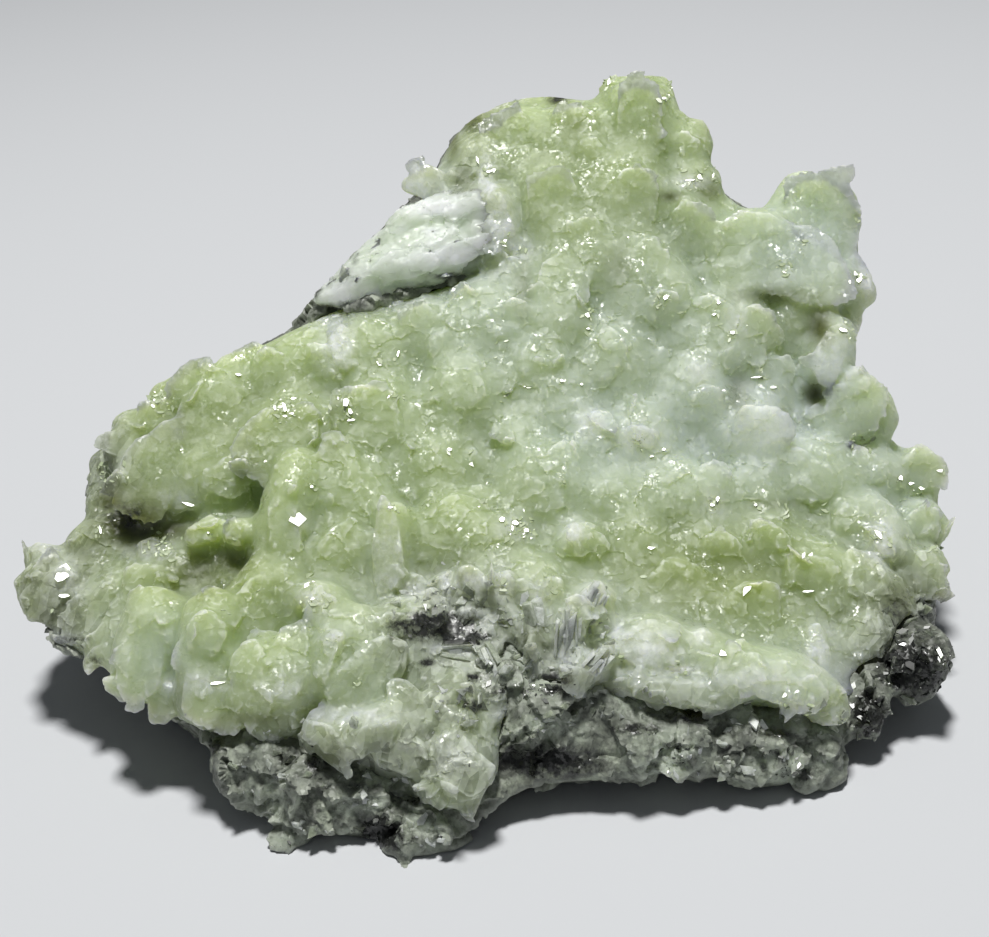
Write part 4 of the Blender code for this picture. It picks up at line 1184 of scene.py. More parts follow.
FRONT_SHARDS = [
    (-9.0, -13.5, 2.2, 1.6, 60, 8, 0.9), (-5.6, -12.8, 1.6, 1.5, 10, 8, 0.9),
    (-2.3, -12.3, 2.0, 1.3, 30, 8, 0.9), (0.8, -13.4, 1.3, 2.2, 20, 8, 1.0),
    (3.8, -14.5, 1.8, 2.0, 340, 8, 0.8), (6.6, -13.4, 1.4, 1.8, 10, 8, 0.9),
    (-7.0, -15.6, 2.6, 1.2, 95, 8, 0.7), (-2.5, -15.6, 2.2, 1.3, 110, 10, 0.8),
    (1.8, -16.6, 1.8, 1.3, 60, 8, 0.8), (9.4, -16.5, 1.3, 2.8, 15, 8, 1.0),
    (7.2, -18.6, 1.0, 3.2, 8, 8, 1.0), (12.0, -17.5, 1.3, 2.0, 340, 8, 0.8),
    (-11.5, -12.2, 1.6, 1.3, 330, 8, 0.8), (-11.5, -17.3, 1.6, 1.6, 200, 8, 0.8),
    (-3.6, -34.2, 2.7, 4.1, 72, 6, 1.1), (-9.8, -31.6, 1.8, 2.6, 60, 8, 0.9),
    (-13.4, -29.4, 1.3, 3.2, 68, 8, 0.8), (-7.6, -27.6, 1.6, 2.4, 150, 8, 0.9),
    (-3.2, -28.6, 1.5, 2.2, 20, 8, 0.9), (11.6, -21.4, 0.9, 2.8, 37, 8, 1.2),
]

# %% [markdown]
# The crust could be sculpted in one go, but it grew in stages, and the code follows them: large
# lobes first, then the plates laid by hand, then small scales over everything, and last the fine
# breaks. A remesh after each stage welds the new growth into one skin, as the real crystals are
# grown together.

# %% Grow the crust in three sizes
crust = solid_copy("prehnite_crust", "prehnite_crystals")
smoothed(remeshed(crust, 0.4), 0.5, 25)
calmed(crust, 90)
mark_growth(crust, 0.8)
run_tree(crust, grow_petals, petal_sizes(fans, 3.6, 1.6, 3.6, -0.6, 0.02, 0.15, 0.9, 5))
smoothed(remeshed(crust, 0.3), 0.5, 1)
vein_core = solid_copy("white_vein", "vein_core")
swollen(smoothed(remeshed(vein_core, 0.3), 0.5, 20), 0.6)
on_crust = surface_finder([crust, vein_core], 25)
bold_plates = LEFT_FANS + LOWER_LEFT_PLATES + RIGHT_PLATES + LOWER_EDGE_PLATES
even_plates = CENTRE_PLATES + WING_PLATES
lay_plates(crust, bold_plates, on_crust, petal_plate)
lay_plates(crust, even_plates, on_crust, petal_plate, thinning=EVEN_THINNING)
lay_plates(crust, APEX_PLATES, on_crust, petal_plate, thinning=APEX_THINNING)
lay_plates(crust, VEIN_EDGE_PLATES, on_crust, petal_plate, toward_viewer=2.5, thinning=EVEN_THINNING)
lay_plates(crust, FRONT_SHARDS, on_crust, shard_plate)
hand_laid = bold_plates + even_plates + APEX_PLATES + VEIN_EDGE_PLATES + FRONT_SHARDS
print("plates laid by hand:", len(hand_laid))
grow_splinters(crust, 1.3, 0.8, 3.0, 0.3, 41)
join_in(crust, [vein_core])
remeshed(crust, 0.26)
mark_growth(crust, 0.55)
run_tree(crust, grow_petals, petal_sizes(fans, 1.5, 0.6, 1.8, -0.16, 0.05, 0.24, 0.9, 8))
remeshed(crust, 0.2)
mark_growth(crust, 0.9)
break_up(crust, [(2.6, 0.05, 0.015, 0.6, 3.1), (1.1, 0.08, 0.01, 0.5, 5.7)])
report(crust)

# %% [markdown]
# The rock under the crust is dark, fine grained and rough. Its angular blocks at the lower edge are
# laid as shards, and three depths of shingle breaks make the rest. The tables give the blocks, and
# the small rubble in the seam under the vein.

# %% Where the rock stands out


def mark_breaking(thing, floor_height):
    places = points_of(thing)
    store(thing, "broken", np.clip((places[:, 2] / MM - floor_height) / 1.5, 0.0, 1.0))
    store_vectors(thing, "outward", soft_normals(thing, 0.5, 12))


ROCK_PLATES = [
    (20.0, -32.0, 3.0, 2.6, 172, 8, 0.8), (16.5, -31.0, 2.4, 2.4, 190, 10, 0.7),
    (30.0, -32.6, 3.0, 2.0, 120, 8, 0.7), (35.0, -34.0, 2.4, 1.8, 130, 8, 0.7),
    (26.0, -31.5, 2.4, 2.0, 165, 10, 0.6), (33.0, -29.5, 3.6, 1.4, 118, 8, 0.6),
    (27.0, -27.5, 3.4, 1.5, 100, 8, 0.6), (17.5, -25.3, 3.4, 1.7, 80, 8, 0.7),
    (12.5, -26.2, 2.4, 1.6, 60, 10, 0.6), (37.0, -30.5, 2.4, 1.6, 120, 8, 0.6),
    (4.0, -20.5, 2.2, 2.8, 160, 8, 0.7), (-1.5, -19.8, 1.2, 3.0, 165, 10, 0.6),
    (1.5, -24.0, 2.4, 1.6, 130, 10, 0.7), (-4.5, -24.0, 2.4, 2.2, 150, 10, 0.7),
    (-6.0, -28.5, 2.0, 2.6, 170, 8, 0.7), (2.5, -28.5, 2.6, 1.6, 100, 10, 0.7),
    (7.0, -27.8, 2.2, 1.6, 120, 10, 0.6), (7.5, -29.8, 2.6, 1.1, 105, 10, 0.6),
    (6.0, -24.5, 1.0, 3.0, 125, 10, 0.6), (12.0, -23.5, 1.6, 1.6, 60, 10, 0.6),
    (0.5, -31.5, 2.6, 1.0, 110, 10, 0.5), (-26.5, -30.5, 2.8, 2.2, 160, 8, 0.7),
    (-25.0, -34.5, 3.0, 2.4, 170, 8, 0.8), (-21.0, -34.0, 2.4, 2.6, 190, 8, 0.7),
    (-17.0, -33.5, 2.4, 1.8, 100, 8, 0.6), (-13.0, -34.0, 2.4, 1.8, 150, 8, 0.6),
    (-8.0, -34.5, 2.0, 2.2, 160, 8, 0.6), (-20.5, -38.5, 2.8, 2.2, 190, 8, 0.7),
    (-16.5, -38.0, 1.6, 2.6, 10, 8, 0.7), (-23.5, -41.0, 1.8, 2.4, 175, 10, 0.7),
    (-12.5, -37.0, 3.0, 1.0, 75, 12, 0.8), (-8.0, -39.5, 2.4, 2.2, 150, 8, 0.8),
    (-10.0, -42.7, 3.0, 0.9, 85, 10, 0.6), (40.0, -24.0, 2.0, 2.0, 140, 10, 0.7),
    (38.5, -28.5, 2.0, 1.2, 120, 10, 0.5), (44.0, -17.5, 1.6, 2.4, 175, 10, 0.7),
    (46.5, -15.5, 2.2, 1.8, 100, 8, 0.6), (49.0, -20.0, 1.6, 3.0, 170, 6, 0.9),
    (45.5, -20.5, 1.8, 2.2, 160, 10, 0.7),
]
CREVICE_REACH = 1.4
CREVICE_DEPTH = 0.9
CREVICE_SHARDS = [
    (-20.5, 17.2, 1.0, 1.8, 70, 4, 0.8), (-17.5, 17.7, 1.0, 2.0, 75, 4, 0.8),
    (-14.5, 18.0, 1.0, 1.9, 80, 4, 0.7), (-11.5, 18.7, 1.0, 2.0, 75, 4, 0.8),
    (-8.5, 19.6, 1.0, 2.0, 70, 4, 0.7), (-5.8, 20.7, 1.0, 2.0, 68, 4, 0.8),
    (-3.2, 21.9, 1.0, 1.8, 65, 4, 0.7), (-10.0, 19.2, 0.7, 1.4, 60, 8, 0.9),
    (-16.0, 17.9, 0.7, 1.4, 85, 8, 0.9),
]
# Where the broken rock stands flush with the crust above it
FLUSH_SPOTS = [
    (-14.0, -33.0, 8.0, 3.0, 1.0), (-24.0, -30.0, 6.0, 3.0, 1.0), (-6.0, -38.0, 5.0, 3.0, 0.7),
]

# %% [markdown]
# The rock starts from its solid, swells where it stands flush with the crust above it, and takes up
# its blocks and splinters before the remesh welds them.

# %% Cut the rock and set its shards
rock = solid_copy("matrix_rock", "rock_block")
smoothed(remeshed(rock, 0.45), 0.5, 6)
swollen(rock, 1.8 * spotted(points_of(rock), FLUSH_SPOTS) * facing_front(rock))
lay_plates(rock, ROCK_PLATES, surface_finder([rock], 15), shard_plate)
grow_splinters(rock, 1.7, 0.8, 3.6, 0.35, 43)
report(rock)

# %% [markdown]
# Between the vein and the crust lies a seam of dark rubble. Its shards are set half way between the
# two surfaces, a little behind them, so that the seam stays in shadow.

# %% The dark seam, and the last breaks of the rock
vein_guide = swollen(solid_copy("white_vein", "vein_guide"), 0.8)
on_vein = surface_finder([vein_guide], 10)
bpy.data.objects.remove(vein_guide)


def in_crevice(across, up):
    """A place in the dark seam between the vein and the crust below it."""
    low, low_normal = on_crust(across, up - CREVICE_REACH)
    high, high_normal = on_vein(across, up + CREVICE_REACH)
    return (low + high) / 2 + LOOK * CREVICE_DEPTH * MM, (low_normal + high_normal).normalized()


lay_plates(rock, CREVICE_SHARDS, in_crevice, shard_plate)
remeshed(above_floor(rock), 0.3)
mark_breaking(rock, 0.3)
break_up(rock, [(5.0, 0.12, 0.04, 0.5, 1.3), (2.0, 0.09, 0.03, 0.6, 4.9), (0.9, 0.1, 0.03, 0.6, 7.7)])
above_floor(rock)
store(rock, "relief", relief(rock, 0.8, 30, 0.6))
keep_front(rock, 190000)
report(rock)

# %% [markdown]
# The white vein is a stack of milky slabs that broke along their length. Long plates at a shared
# angle give it that grain, and it sinks into the crust at its right end.

# %% Slabs of the vein
VEIN_SLABS = [
    (-8.5, 25.4, 2.6, 5.5, 60, 3, 0.5), (-4.0, 27.5, 2.4, 4.0, 62, 4, 0.5),
    (-12.5, 21.8, 2.0, 4.0, 55, 4, 0.5), (-3.5, 24.2, 1.7, 4.2, 70, 5, 0.5),
    (-6.6, 28.6, 1.2, 3.4, 68, 6, 0.5), (-16.5, 19.3, 1.5, 2.8, 60, 6, 0.5),
    (-14.0, 19.0, 1.3, 2.0, 75, 8, 0.5), (-9.5, 22.2, 1.6, 4.0, 72, 5, 0.5),
]
# Where the vein sinks into the crust that grew over its edge
VEIN_MERGING_SPOTS = [
    (3.6, 28.0, 3.6, 8.0, 1.0), (-4.0, 33.4, 6.0, 2.0, 1.0), (1.6, 22.6, 3.4, 1.6, 0.9),
]

# %% [markdown]
# The vein is remeshed finely, swollen a little so that it stands in front of its solid, and broken
# in two sizes.

# %% Break the vein
vein = smoothed(remeshed(solid_copy("white_vein", "vein_slabs"), 0.3), 0.5, 20)
swollen(vein, 0.85 - 1.3 * spotted(points_of(vein), VEIN_MERGING_SPOTS))
lay_plates(vein, VEIN_SLABS, surface_finder([vein], 10), petal_plate)
grow_splinters(vein, 1.6, 0.5, 1.4, 0.3, 45)
smoothed(remeshed(vein, 0.2), 0.5, 1)
mark_breaking(vein, 0.0)
break_up(vein, [(2.6, 0.09, 0.03, 0.7, 2.3), (0.9, 0.1, 0.03, 0.6, 6.1)])
thinned(vein, 90000)
store(vein, "relief", relief(vein, 0.8, 12, 0.3))
vein_places = points_of(vein)
report(vein)

# %% [markdown]
# Prehnite's green isn't even: it is cool and milky in the middle, deep and yellow in hollows, and
# grey where it is bruised. The deep spots also paint shade into hollows and darken the lit apex,
# and the olive spots are painted shade in hollows and under overhanging plates. Each table lists
# soft spots of one shade.

# %% Colour regions of the crust
COOL_SPOTS = [
    (27.0, 5.0, 15.0, 9.0, 1.0), (12.0, 4.0, 10.0, 8.0, 0.8), (0.0, 18.0, 9.0, 8.0, 0.7),
    (35.0, 24.0, 9.0, 9.0, 0.9), (18.0, -18.0, 9.0, 5.0, 0.9), (30.0, -23.0, 12.0, 5.0, 0.7),
    (44.0, -2.0, 7.0, 8.0, 0.7), (-37.0, -20.0, 5.0, 6.0, 0.6), (38.0, 12.0, 4.0, 6.0, 1.0),
    (18.0, 16.0, 14.0, 12.0, 0.6), (-7.5, 31.5, 4.0, 2.6, 1.0), (-14.0, -22.0, 8.0, 8.0, 0.3),
    (3.0, -34.0, 6.0, 4.0, 0.6),
]
# Deeper green, partly painted shade: in hollows, under the wing and over the brightly lit apex
DEEP_AND_SHADED_SPOTS = [
    (24.0, -12.0, 14.0, 7.0, 1.2), (-40.0, -5.0, 6.0, 5.0, 1.3), (-28.0, -12.0, 10.0, 6.0, 0.9),
    (-14.0, -9.0, 12.0, 6.0, 0.6), (9.0, 33.0, 14.0, 11.0, 0.6), (-30.0, 5.0, 15.0, 9.0, 0.75),
    (-49.0, -15.0, 4.0, 6.0, 0.9), (-26.0, -26.0, 10.0, 6.0, 0.5), (-2.0, -6.0, 9.0, 6.0, 0.5),
    (36.0, 17.0, 6.0, 3.0, 0.8), (-36.0, -12.0, 8.0, 5.0, 0.9),
]
GREY_SPOTS = [
    (-4.0, -15.0, 8.0, 4.0, 1.0), (2.0, -22.0, 13.0, 7.0, 1.0), (-8.0, -19.0, 6.0, 6.0, 0.9),
    (14.0, -27.0, 12.0, 5.0, 0.8), (45.0, -18.0, 6.0, 8.0, 1.0), (-49.0, -14.0, 6.0, 9.0, 0.9),
    (-44.0, 0.0, 4.0, 10.0, 0.9), (-16.0, -33.0, 12.0, 5.0, 1.0), (-4.0, 33.0, 4.0, 7.0, 0.6),
    (-5.0, -33.0, 7.0, 5.0, 1.0), (-6.0, -26.0, 6.0, 6.0, 0.9), (-49.0, -17.0, 5.0, 5.0, 1.0),
    (-9.0, -31.0, 10.0, 4.0, 1.0), (-1.5, -33.0, 3.0, 5.0, 0.8),
]
# Mostly painted shade in hollows and under overhanging plates, with a few darker olive rims
OLIVE_SHADE_SPOTS = [
    (-40.0, -6.2, 4.0, 2.2, 1.2), (-36.0, -6.8, 2.4, 1.2, 0.9), (-42.6, -3.6, 1.6, 1.6, 1.0),
    (-33.0, -11.5, 3.6, 2.4, 0.7), (-29.5, -10.3, 2.6, 1.5, 0.7), (3.2, 19.8, 1.0, 3.0, 0.4),
    (13.8, 22.4, 1.6, 2.4, 0.35), (36.3, 15.6, 1.2, 1.8, 1.0), (30.0, 19.2, 4.5, 0.9, 0.5),
    (27.0, 8.2, 1.4, 2.2, 0.5), (35.6, 8.4, 1.0, 1.3, 1.0), (31.0, -4.0, 2.4, 0.7, 0.4),
    (-2.6, 39.0, 1.8, 1.6, 0.9), (-4.6, 36.5, 0.8, 1.8, 0.8), (9.0, 38.5, 2.6, 2.0, 0.25),
    (-18.5, -31.8, 2.4, 1.4, 0.6), (-27.0, -27.9, 3.0, 0.8, 0.6), (-50.0, -15.5, 3.5, 3.5, 0.35),
    (-45.5, -9.0, 2.5, 2.5, 0.45), (47.0, 0.5, 3.0, 2.2, 0.25), (7.0, 41.0, 1.2, 0.8, 0.9),
    (-3.5, 32.0, 1.2, 1.6, 0.5), (19.5, 30.2, 1.2, 0.5, 0.8), (24.0, 30.9, 1.5, 1.2, 0.6),
    (45.5, -14.5, 2.5, 3.0, 0.6), (-50.0, -13.0, 4.0, 6.0, 0.3), (-35.0, -26.0, 1.6, 1.4, 0.3),
    (23.0, -13.0, 9.0, 4.0, 0.12), (4.5, -18.5, 2.2, 1.4, 0.5),
]

print("colour spots:", len(COOL_SPOTS + DEEP_AND_SHADED_SPOTS + GREY_SPOTS + OLIVE_SHADE_SPOTS))

# %% [markdown]
# The finishes need to know heights and regions. Both are stored on the points before the mesh is
# thinned: relief for wide hollows, rim for thin edges, and a mark for each shade. The crust's finish
# uses relief and rim to paint light onto raised parts and thin rims and shade into cracks. Thinning
# keeps the front and spends its savings on the back and the underside.

# %% Marks that the finishes read
store(crust, "relief", relief(crust, 0.8, 40, 0.5))
store(crust, "rim", relief(crust, 0.5, 6, 0.06))
keep_front(crust, MOST_TRIANGLES)
report(crust)
crust_places = points_of(crust)
store(crust, "cool", spotted(crust_places, COOL_SPOTS))
store(crust, "deep", spotted(crust_places, DEEP_AND_SHADED_SPOTS))
store(crust, "grey", spotted(crust_places, GREY_SPOTS))
store(crust, "white", spotted(crust_places, WHITE_AND_GLINT_SPOTS))
store(crust, "black", spotted(crust_places, BLACK_AND_SHADE_SPOTS))
store(crust, "olive", spotted(crust_places, OLIVE_SHADE_SPOTS))
rock_places = points_of(rock)
store(rock, "pale", spotted(rock_places, PALE_ROCK_SPOTS) * facing_front(rock))
store(rock, "black", spotted(rock_places, BLACK_ROCK_AND_SHADOW_SPOTS) * facing_front(rock))
VEIN_WHITE_SPOTS = [
    (-6.5, 29.0, 3.0, 0.9, 1.0), (0.3, 28.5, 1.6, 2.4, 1.0), (-4.5, 23.6, 3.8, 1.2, 1.0),
    (-9.0, 31.3, 3.0, 1.4, 0.5), (-17.0, 19.0, 1.2, 1.4, 0.7), (-13.5, 19.2, 1.2, 0.8, 0.7),
    (-1.6, 33.5, 0.8, 1.6, 1.0), (-7.2, 26.4, 1.0, 0.5, 0.9), (-1.0, 24.8, 2.0, 0.8, 1.0),
    (-10.5, 26.5, 1.6, 0.6, 0.5),
]
# Painted shade along the seam under the vein, with a few dark spots on the vein itself
VEIN_DARK_AND_SEAM_SHADE_SPOTS = [
    (-20.0, 17.3, 3.0, 1.0, 1.2), (-14.5, 17.9, 3.0, 0.8, 1.0), (-9.0, 19.4, 3.0, 0.6, 0.9),
    (-4.5, 21.3, 3.0, 0.5, 0.8), (-15.6, 24.0, 0.8, 1.4, 0.7), (-12.8, 18.9, 0.6, 0.5, 0.7),
    (-19.8, 19.6, 0.9, 1.2, 0.8),
]
store(vein, "white", spotted(vein_places, VEIN_WHITE_SPOTS))
store(vein, "merging", spotted(vein_places, VEIN_MERGING_SPOTS))
store(vein, "black", spotted(vein_places, VEIN_DARK_AND_SEAM_SHADE_SPOTS))

# %% [markdown]
# Glints sit in small groups on real crystals. The groups were measured on the front view, each with
# its reach.

# %% Where the crystal faces glint
# Each row: across, up, reach
GLINT_SPOTS = [
    (-23.5, 6.5, 1.6), (-16.3, 7.0, 1.3), (-20.3, -2.0, 0.7), (-31.7, -7.2, 0.6), (-28.8, -8.0, 0.5),
    (-43.0, -0.5, 1.3), (-28.3, 10.3, 0.6), (-37.0, 7.5, 1.4), (-49.5, -15.5, 0.5), (-44.0, -7.0, 0.6),
    (-37.0, -8.8, 1.6), (-35.5, -15.3, 0.4), (-30.0, -16.2, 0.5), (-26.5, -14.0, 0.8),
    (-23.0, -12.3, 0.6), (-20.5, -12.8, 0.7), (-19.5, -15.0, 1.4), (-18.5, -19.0, 1.0),
    (-14.0, -19.0, 0.6), (-17.0, -7.0, 0.7), (-11.5, -4.3, 0.7), (-6.7, -3.3, 0.8), (-1.2, -4.0, 0.5),
    (2.5, -6.7, 1.7), (7.3, -1.0, 0.6), (-5.0, 2.0, 0.5), (-2.5, 1.3, 0.8), (-12.7, 2.0, 0.6),
    (-10.7, 12.7, 0.8), (-8.8, 12.0, 0.5), (-13.0, 12.0, 0.8), (-13.5, 10.5, 0.6), (-11.0, 8.0, 0.7),
    (-7.0, 8.0, 0.6), (1.0, 13.3, 1.0), (1.2, 8.0, 0.7), (3.4, 9.0, 0.7), (10.5, 17.0, 0.8),
    (12.8, 16.4, 0.5), (10.5, 15.4, 0.4), (7.5, 9.7, 0.4), (9.8, 9.2, 0.4), (11.0, 11.0, 0.4),
    (18.7, 18.8, 1.0), (20.0, 17.0, 0.4), (24.6, 18.0, 0.7), (24.4, 17.0, 0.4), (26.7, 15.3, 1.1),
    (29.5, 10.0, 0.9), (31.0, 8.9, 0.5), (16.0, 3.0, 1.1), (18.5, 1.7, 0.5), (17.8, 0.8, 0.7),
    (18.0, -1.2, 0.5), (24.6, -4.0, 1.0), (29.1, -4.2, 0.4), (30.3, -4.2, 0.4), (32.5, -5.0, 0.9),
    (36.8, -5.0, 0.8), (38.0, -5.0, 0.6), (37.8, -8.5, 0.4), (28.4, -7.5, 0.6), (29.0, -11.0, 0.6),
    (27.0, -18.7, 0.5), (34.8, -14.0, 0.6), (35.0, -10.0, 0.6), (32.5, -17.0, 0.8), (41.2, 3.0, 1.3),
    (39.5, 3.0, 0.5), (45.0, -1.2, 0.5), (47.2, -2.3, 0.9), (49.7, -0.4, 0.5), (43.0, -7.7, 1.0),
    (48.8, -9.0, 0.7), (-0.7, 33.0, 0.8), (-1.9, 34.3, 0.5), (15.5, 34.4, 0.4), (4.9, 25.0, 0.4),
    (1.2, 25.3, 0.6), (3.5, 24.6, 0.6), (10.8, 28.7, 0.5), (14.4, 26.2, 0.5), (15.2, 23.2, 0.3),
    (12.7, 43.0, 0.7), (18.9, 41.2, 0.6), (19.5, 42.5, 0.5), (21.7, 31.8, 1.1), (23.3, 33.5, 0.6),
    (24.5, 32.2, 0.6), (34.3, 24.5, 0.6), (32.0, 22.0, 0.8), (26.8, 23.2, 0.3), (38.8, 15.2, 0.9),
    (40.6, 20.8, 0.9), (40.4, 27.3, 0.5), (6.5, -13.3, 0.9), (8.0, -18.0, 1.0), (0.9, -13.0, 0.8),
    (13.5, -7.5, 0.5), (16.5, -11.5, 0.6), (17.8, -9.0, 0.5), (-24.5, -20.0, 0.5), (32.0, -26.0, 0.8),
    (35.0, -26.7, 0.7), (20.5, -22.4, 1.0), (14.3, -21.0, 0.6), (-15.0, -24.0, 0.6), (6.0, -12.0, 0.6),
]
glint_rows = [(across, up, reach, reach, 1.0) for across, up, reach in GLINT_SPOTS]
store(crust, "glinting", np.clip(spotted(crust_places, glint_rows) * facing_front(crust), 0.0, 1.0))

# %% [markdown]
# A glint is a flat face that mirrors the lamp. It could be painted white, but it would then glow
# from every side. Small real faces, turned half way between the lamp and the eye, shine only where
# they should.

# %% Chips, the small flat faces that catch the light


def glances_at(places):
    """The way a flat face has to look at each place to throw the lamp's light to the front."""
    to_lamp = np.array(LAMP_PLACE) - places
    to_eye = np.array((EYE + CENTRING) * MM) - places
    half = to_lamp / np.linalg.norm(to_lamp, axis=1)[:, None]
    half = half + to_eye / np.linalg.norm(to_eye, axis=1)[:, None]
    return half / np.linalg.norm(half, axis=1)[:, None]


def chip_kind(name, seed, sides, box):
    """A thin flake with a bevelled rim: few faces, because it is repeated many hundreds of times."""
    dice = random.Random(seed)
    work = bmesh.new()
    rim = uneven_rim(dice, sides, 0.3, 0.6, 1.0)
    slim = dice.uniform(0.3, 0.8)
    rings = []
    for scale, height in ((0.7, -0.5), (1.0, 0.0), (0.9, 0.16)):
        rings.append([
            work.verts.new((math.cos(a) * r * scale, math.sin(a) * r * scale * slim, height)) for a, r in rim
        ])
    close_loops(work, rings)
    box.objects.link(bpy.data.objects.new(name, finished_mesh(work, name)))


chips = bpy.data.collections.new("chips")
bpy.context.scene.collection.children.link(chips)
for seed, sides in ((11, 4), (12, 5), (13, 6), (14, 4), (15, 5), (16, 4)):
    chip_kind("chip_" + str(seed), seed, sides, chips)


# Each row: across, up, half width, half length, clock angle
FACETS = [
    (-48.0, -12.0, 1.0, 1.7, 5), (-47.9, -14.3, 0.8, 0.5, 0), (-21.8, -5.6, 1.1, 1.2, 20),
    (28.0, -13.6, 0.45, 1.1, 40), (49.3, -20.3, 0.35, 1.7, 168), (-16.5, 7.3, 0.5, 0.7, 0),
    (-16.0, 6.2, 0.35, 0.6, 170), (-23.3, 6.6, 0.3, 0.9, 160), (2.3, -6.2, 0.5, 0.4, 0),
    (3.6, -7.0, 0.6, 0.5, 0), (0.9, -5.8, 0.4, 0.4, 0), (25.4, -20.7, 0.6, 0.5, 30),
    (12.7, 42.8, 0.4, 0.7, 10), (18.8, 41.0, 0.4, 0.25, 0), (46.3, -1.8, 0.5, 0.3, 0),
    (47.4, -2.3, 0.6, 0.35, 20), (45.1, -1.2, 0.35, 0.5, 0), (49.5, -0.4, 0.5, 0.25, 0),
    (38.7, 15.3, 0.9, 0.35, 20), (40.5, 20.8, 0.6, 0.4, 130), (26.5, 15.0, 0.4, 0.3, 0),
    (24.9, 18.3, 0.4, 0.3, 0), (24.4, 17.0, 0.35, 0.3, 0), (19.0, 18.8, 0.5, 0.35, 0),
    (10.4, 16.9, 0.35, 0.5, 0), (10.4, 15.4, 0.3, 0.2, 0), (7.5, 9.6, 0.3, 0.25, 0),
    (9.7, 9.2, 0.25, 0.25, 0), (24.2, -4.2, 0.5, 0.35, 0), (24.8, -3.5, 0.3, 0.5, 0),
    (29.0, -4.2, 0.25, 0.25, 0), (18.8, 2.0, 0.3, 0.25, 0), (17.5, 1.2, 0.3, 0.2, 0),
    (-43.8, -7.0, 0.8, 0.2, 80), (-28.4, 10.3, 0.5, 0.25, 0), (-31.8, -7.3, 0.25, 0.25, 0),
    (-20.3, -2.1, 0.35, 0.3, 0), (34.8, -13.8, 0.15, 0.9, 92), (42.7, -7.4, 0.3, 0.9, 150),
    (-1.9, 34.2, 0.2, 0.8, 165), (-0.5, 32.9, 0.25, 0.7, 80), (21.8, 31.9, 0.25, 1.0, 90),
    (-34.0, -4.1, 0.25, 1.1, 115), (-5.0, 2.0, 0.3, 0.5, 120), (-10.7, 12.6, 0.25, 0.8, 10),
    (31.0, 8.9, 0.5, 0.2, 0), (29.0, 10.0, 0.2, 1.0, 90), (-31.0, -24.0, 0.35, 1.2, 75),
]


def facet_chips(name, rows, find):
    """One mesh of flat closed chips that all lie near the way that catches the light."""
    dice = random.Random(21)
    work = bmesh.new()
    for across, up, half_width, half_length, clock in rows:
        heart, _ = find(across, up)
        wobble = Vector((dice.uniform(-1, 1), dice.uniform(-1, 1), dice.uniform(-1, 1))) * 0.04
        way = Vector(glances_at(np.array([heart]))[0])
        side, along, out = plate_frame(way + wobble, clock, 0, 0.0)
        sides = dice.randint(4, 7)
        rings = []
        rim = uneven_rim(dice, sides, 0.25, 0.45, 1.0)
        for scale, height in ((0.6, -0.6), (1.0, 0.05), (0.9, 0.16)):
            ring = []
            for angle, reach in rim:
                flat = side * math.sin(angle) * half_width + along * math.cos(angle) * half_length
                ring.append(work.verts.new(heart + (flat * reach * scale + out * (height + 0.12)) * MM))
            rings.append(ring)
        close_loops(work, rings)
    return link(bpy.data.objects.new(name, finished_mesh(work, name)))


print("glint spots:", len(GLINT_SPOTS))

# %% [markdown]
# Each finish is a Principled shader whose colour, roughness and bump come from noise in millimetres
# and from the marks on the mesh. These helpers keep the recipes short.

# %% Helpers for finishes


def new_finish(name):
    material = bpy.data.materials.new(name)
    material.use_nodes = True
    tree = material.node_tree
    return material, tree, tree.nodes["Principled BSDF"]


def mark_value(tree, name):
    """The value of a mark that is stored on the mesh."""
    mark = add_node(tree, "ShaderNodeAttribute", attribute_name=name, attribute_type="GEOMETRY")
    return mark.outputs["Fac"]


def blend_colour(tree, amount, first, second):
    """The second colour laid over the first by an amount from 0 to 1."""
    made = add_node(tree, "ShaderNodeMix", {0: amount, 6: first, 7: second}, data_type="RGBA")
    return made.outputs[2]


def ramp(tree, value, low, high, to_low=0.0, to_high=1.0):
    values = {"Value": value, "From Min": low, "From Max": high, "To Min": to_low, "To Max": to_high}
    return add_node(tree, "ShaderNodeMapRange", values, clamp=True).outputs["Result"]


def noise_at(tree, place, size, detail=3.0, rough=0.55):
    """Noise with features of a size in millimetres."""
    values = {"Vector": place, "Scale": 1.0 / (size * MM), "Detail": detail, "Roughness": rough}
    return add_node(tree, "ShaderNodeTexNoise", values).outputs["Fac"]


def drawn_out(tree, place, way, share):
    """A place whose pattern is stretched along a way: 0 leaves it as it is, and 1 makes endless lines."""
    along = vectors(tree, "DOT_PRODUCT", place, tuple(way))
    line = add_node(tree, "ShaderNodeCombineXYZ", {0: way.x, 1: way.y, 2: way.z}).outputs[0]
    step = vectors(tree, "SCALE", line, maths(tree, "MULTIPLY", along, share))
    return vectors(tree, "SUBTRACT", place, step)


def facet_height(tree, place, size, warp):
    """Little tilted planes: each cell slopes its own way, as small crystal faces do. In cell sizes."""
    cells = vectors(tree, "SCALE", place, 1.0 / (size * MM))
    sway = add_node(tree, "ShaderNodeTexNoise", {"Vector": cells, "Scale": 0.8, "Detail": 1.0})
    sway = vectors(tree, "SUBTRACT", sway.outputs["Color"], (0.5, 0.5, 0.5))
    cells = vectors(tree, "ADD", cells, vectors(tree, "SCALE", sway, warp))
    patches = add_node(tree, "ShaderNodeTexVoronoi", {"Vector": cells, "Scale": 1.0})
    from_centre = vectors(tree, "SUBTRACT", cells, patches.outputs["Position"])
    lean = vectors(tree, "SUBTRACT", patches.outputs["Color"], (0.5, 0.5, 0.5))
    return vectors(tree, "DOT_PRODUCT", from_centre, lean)


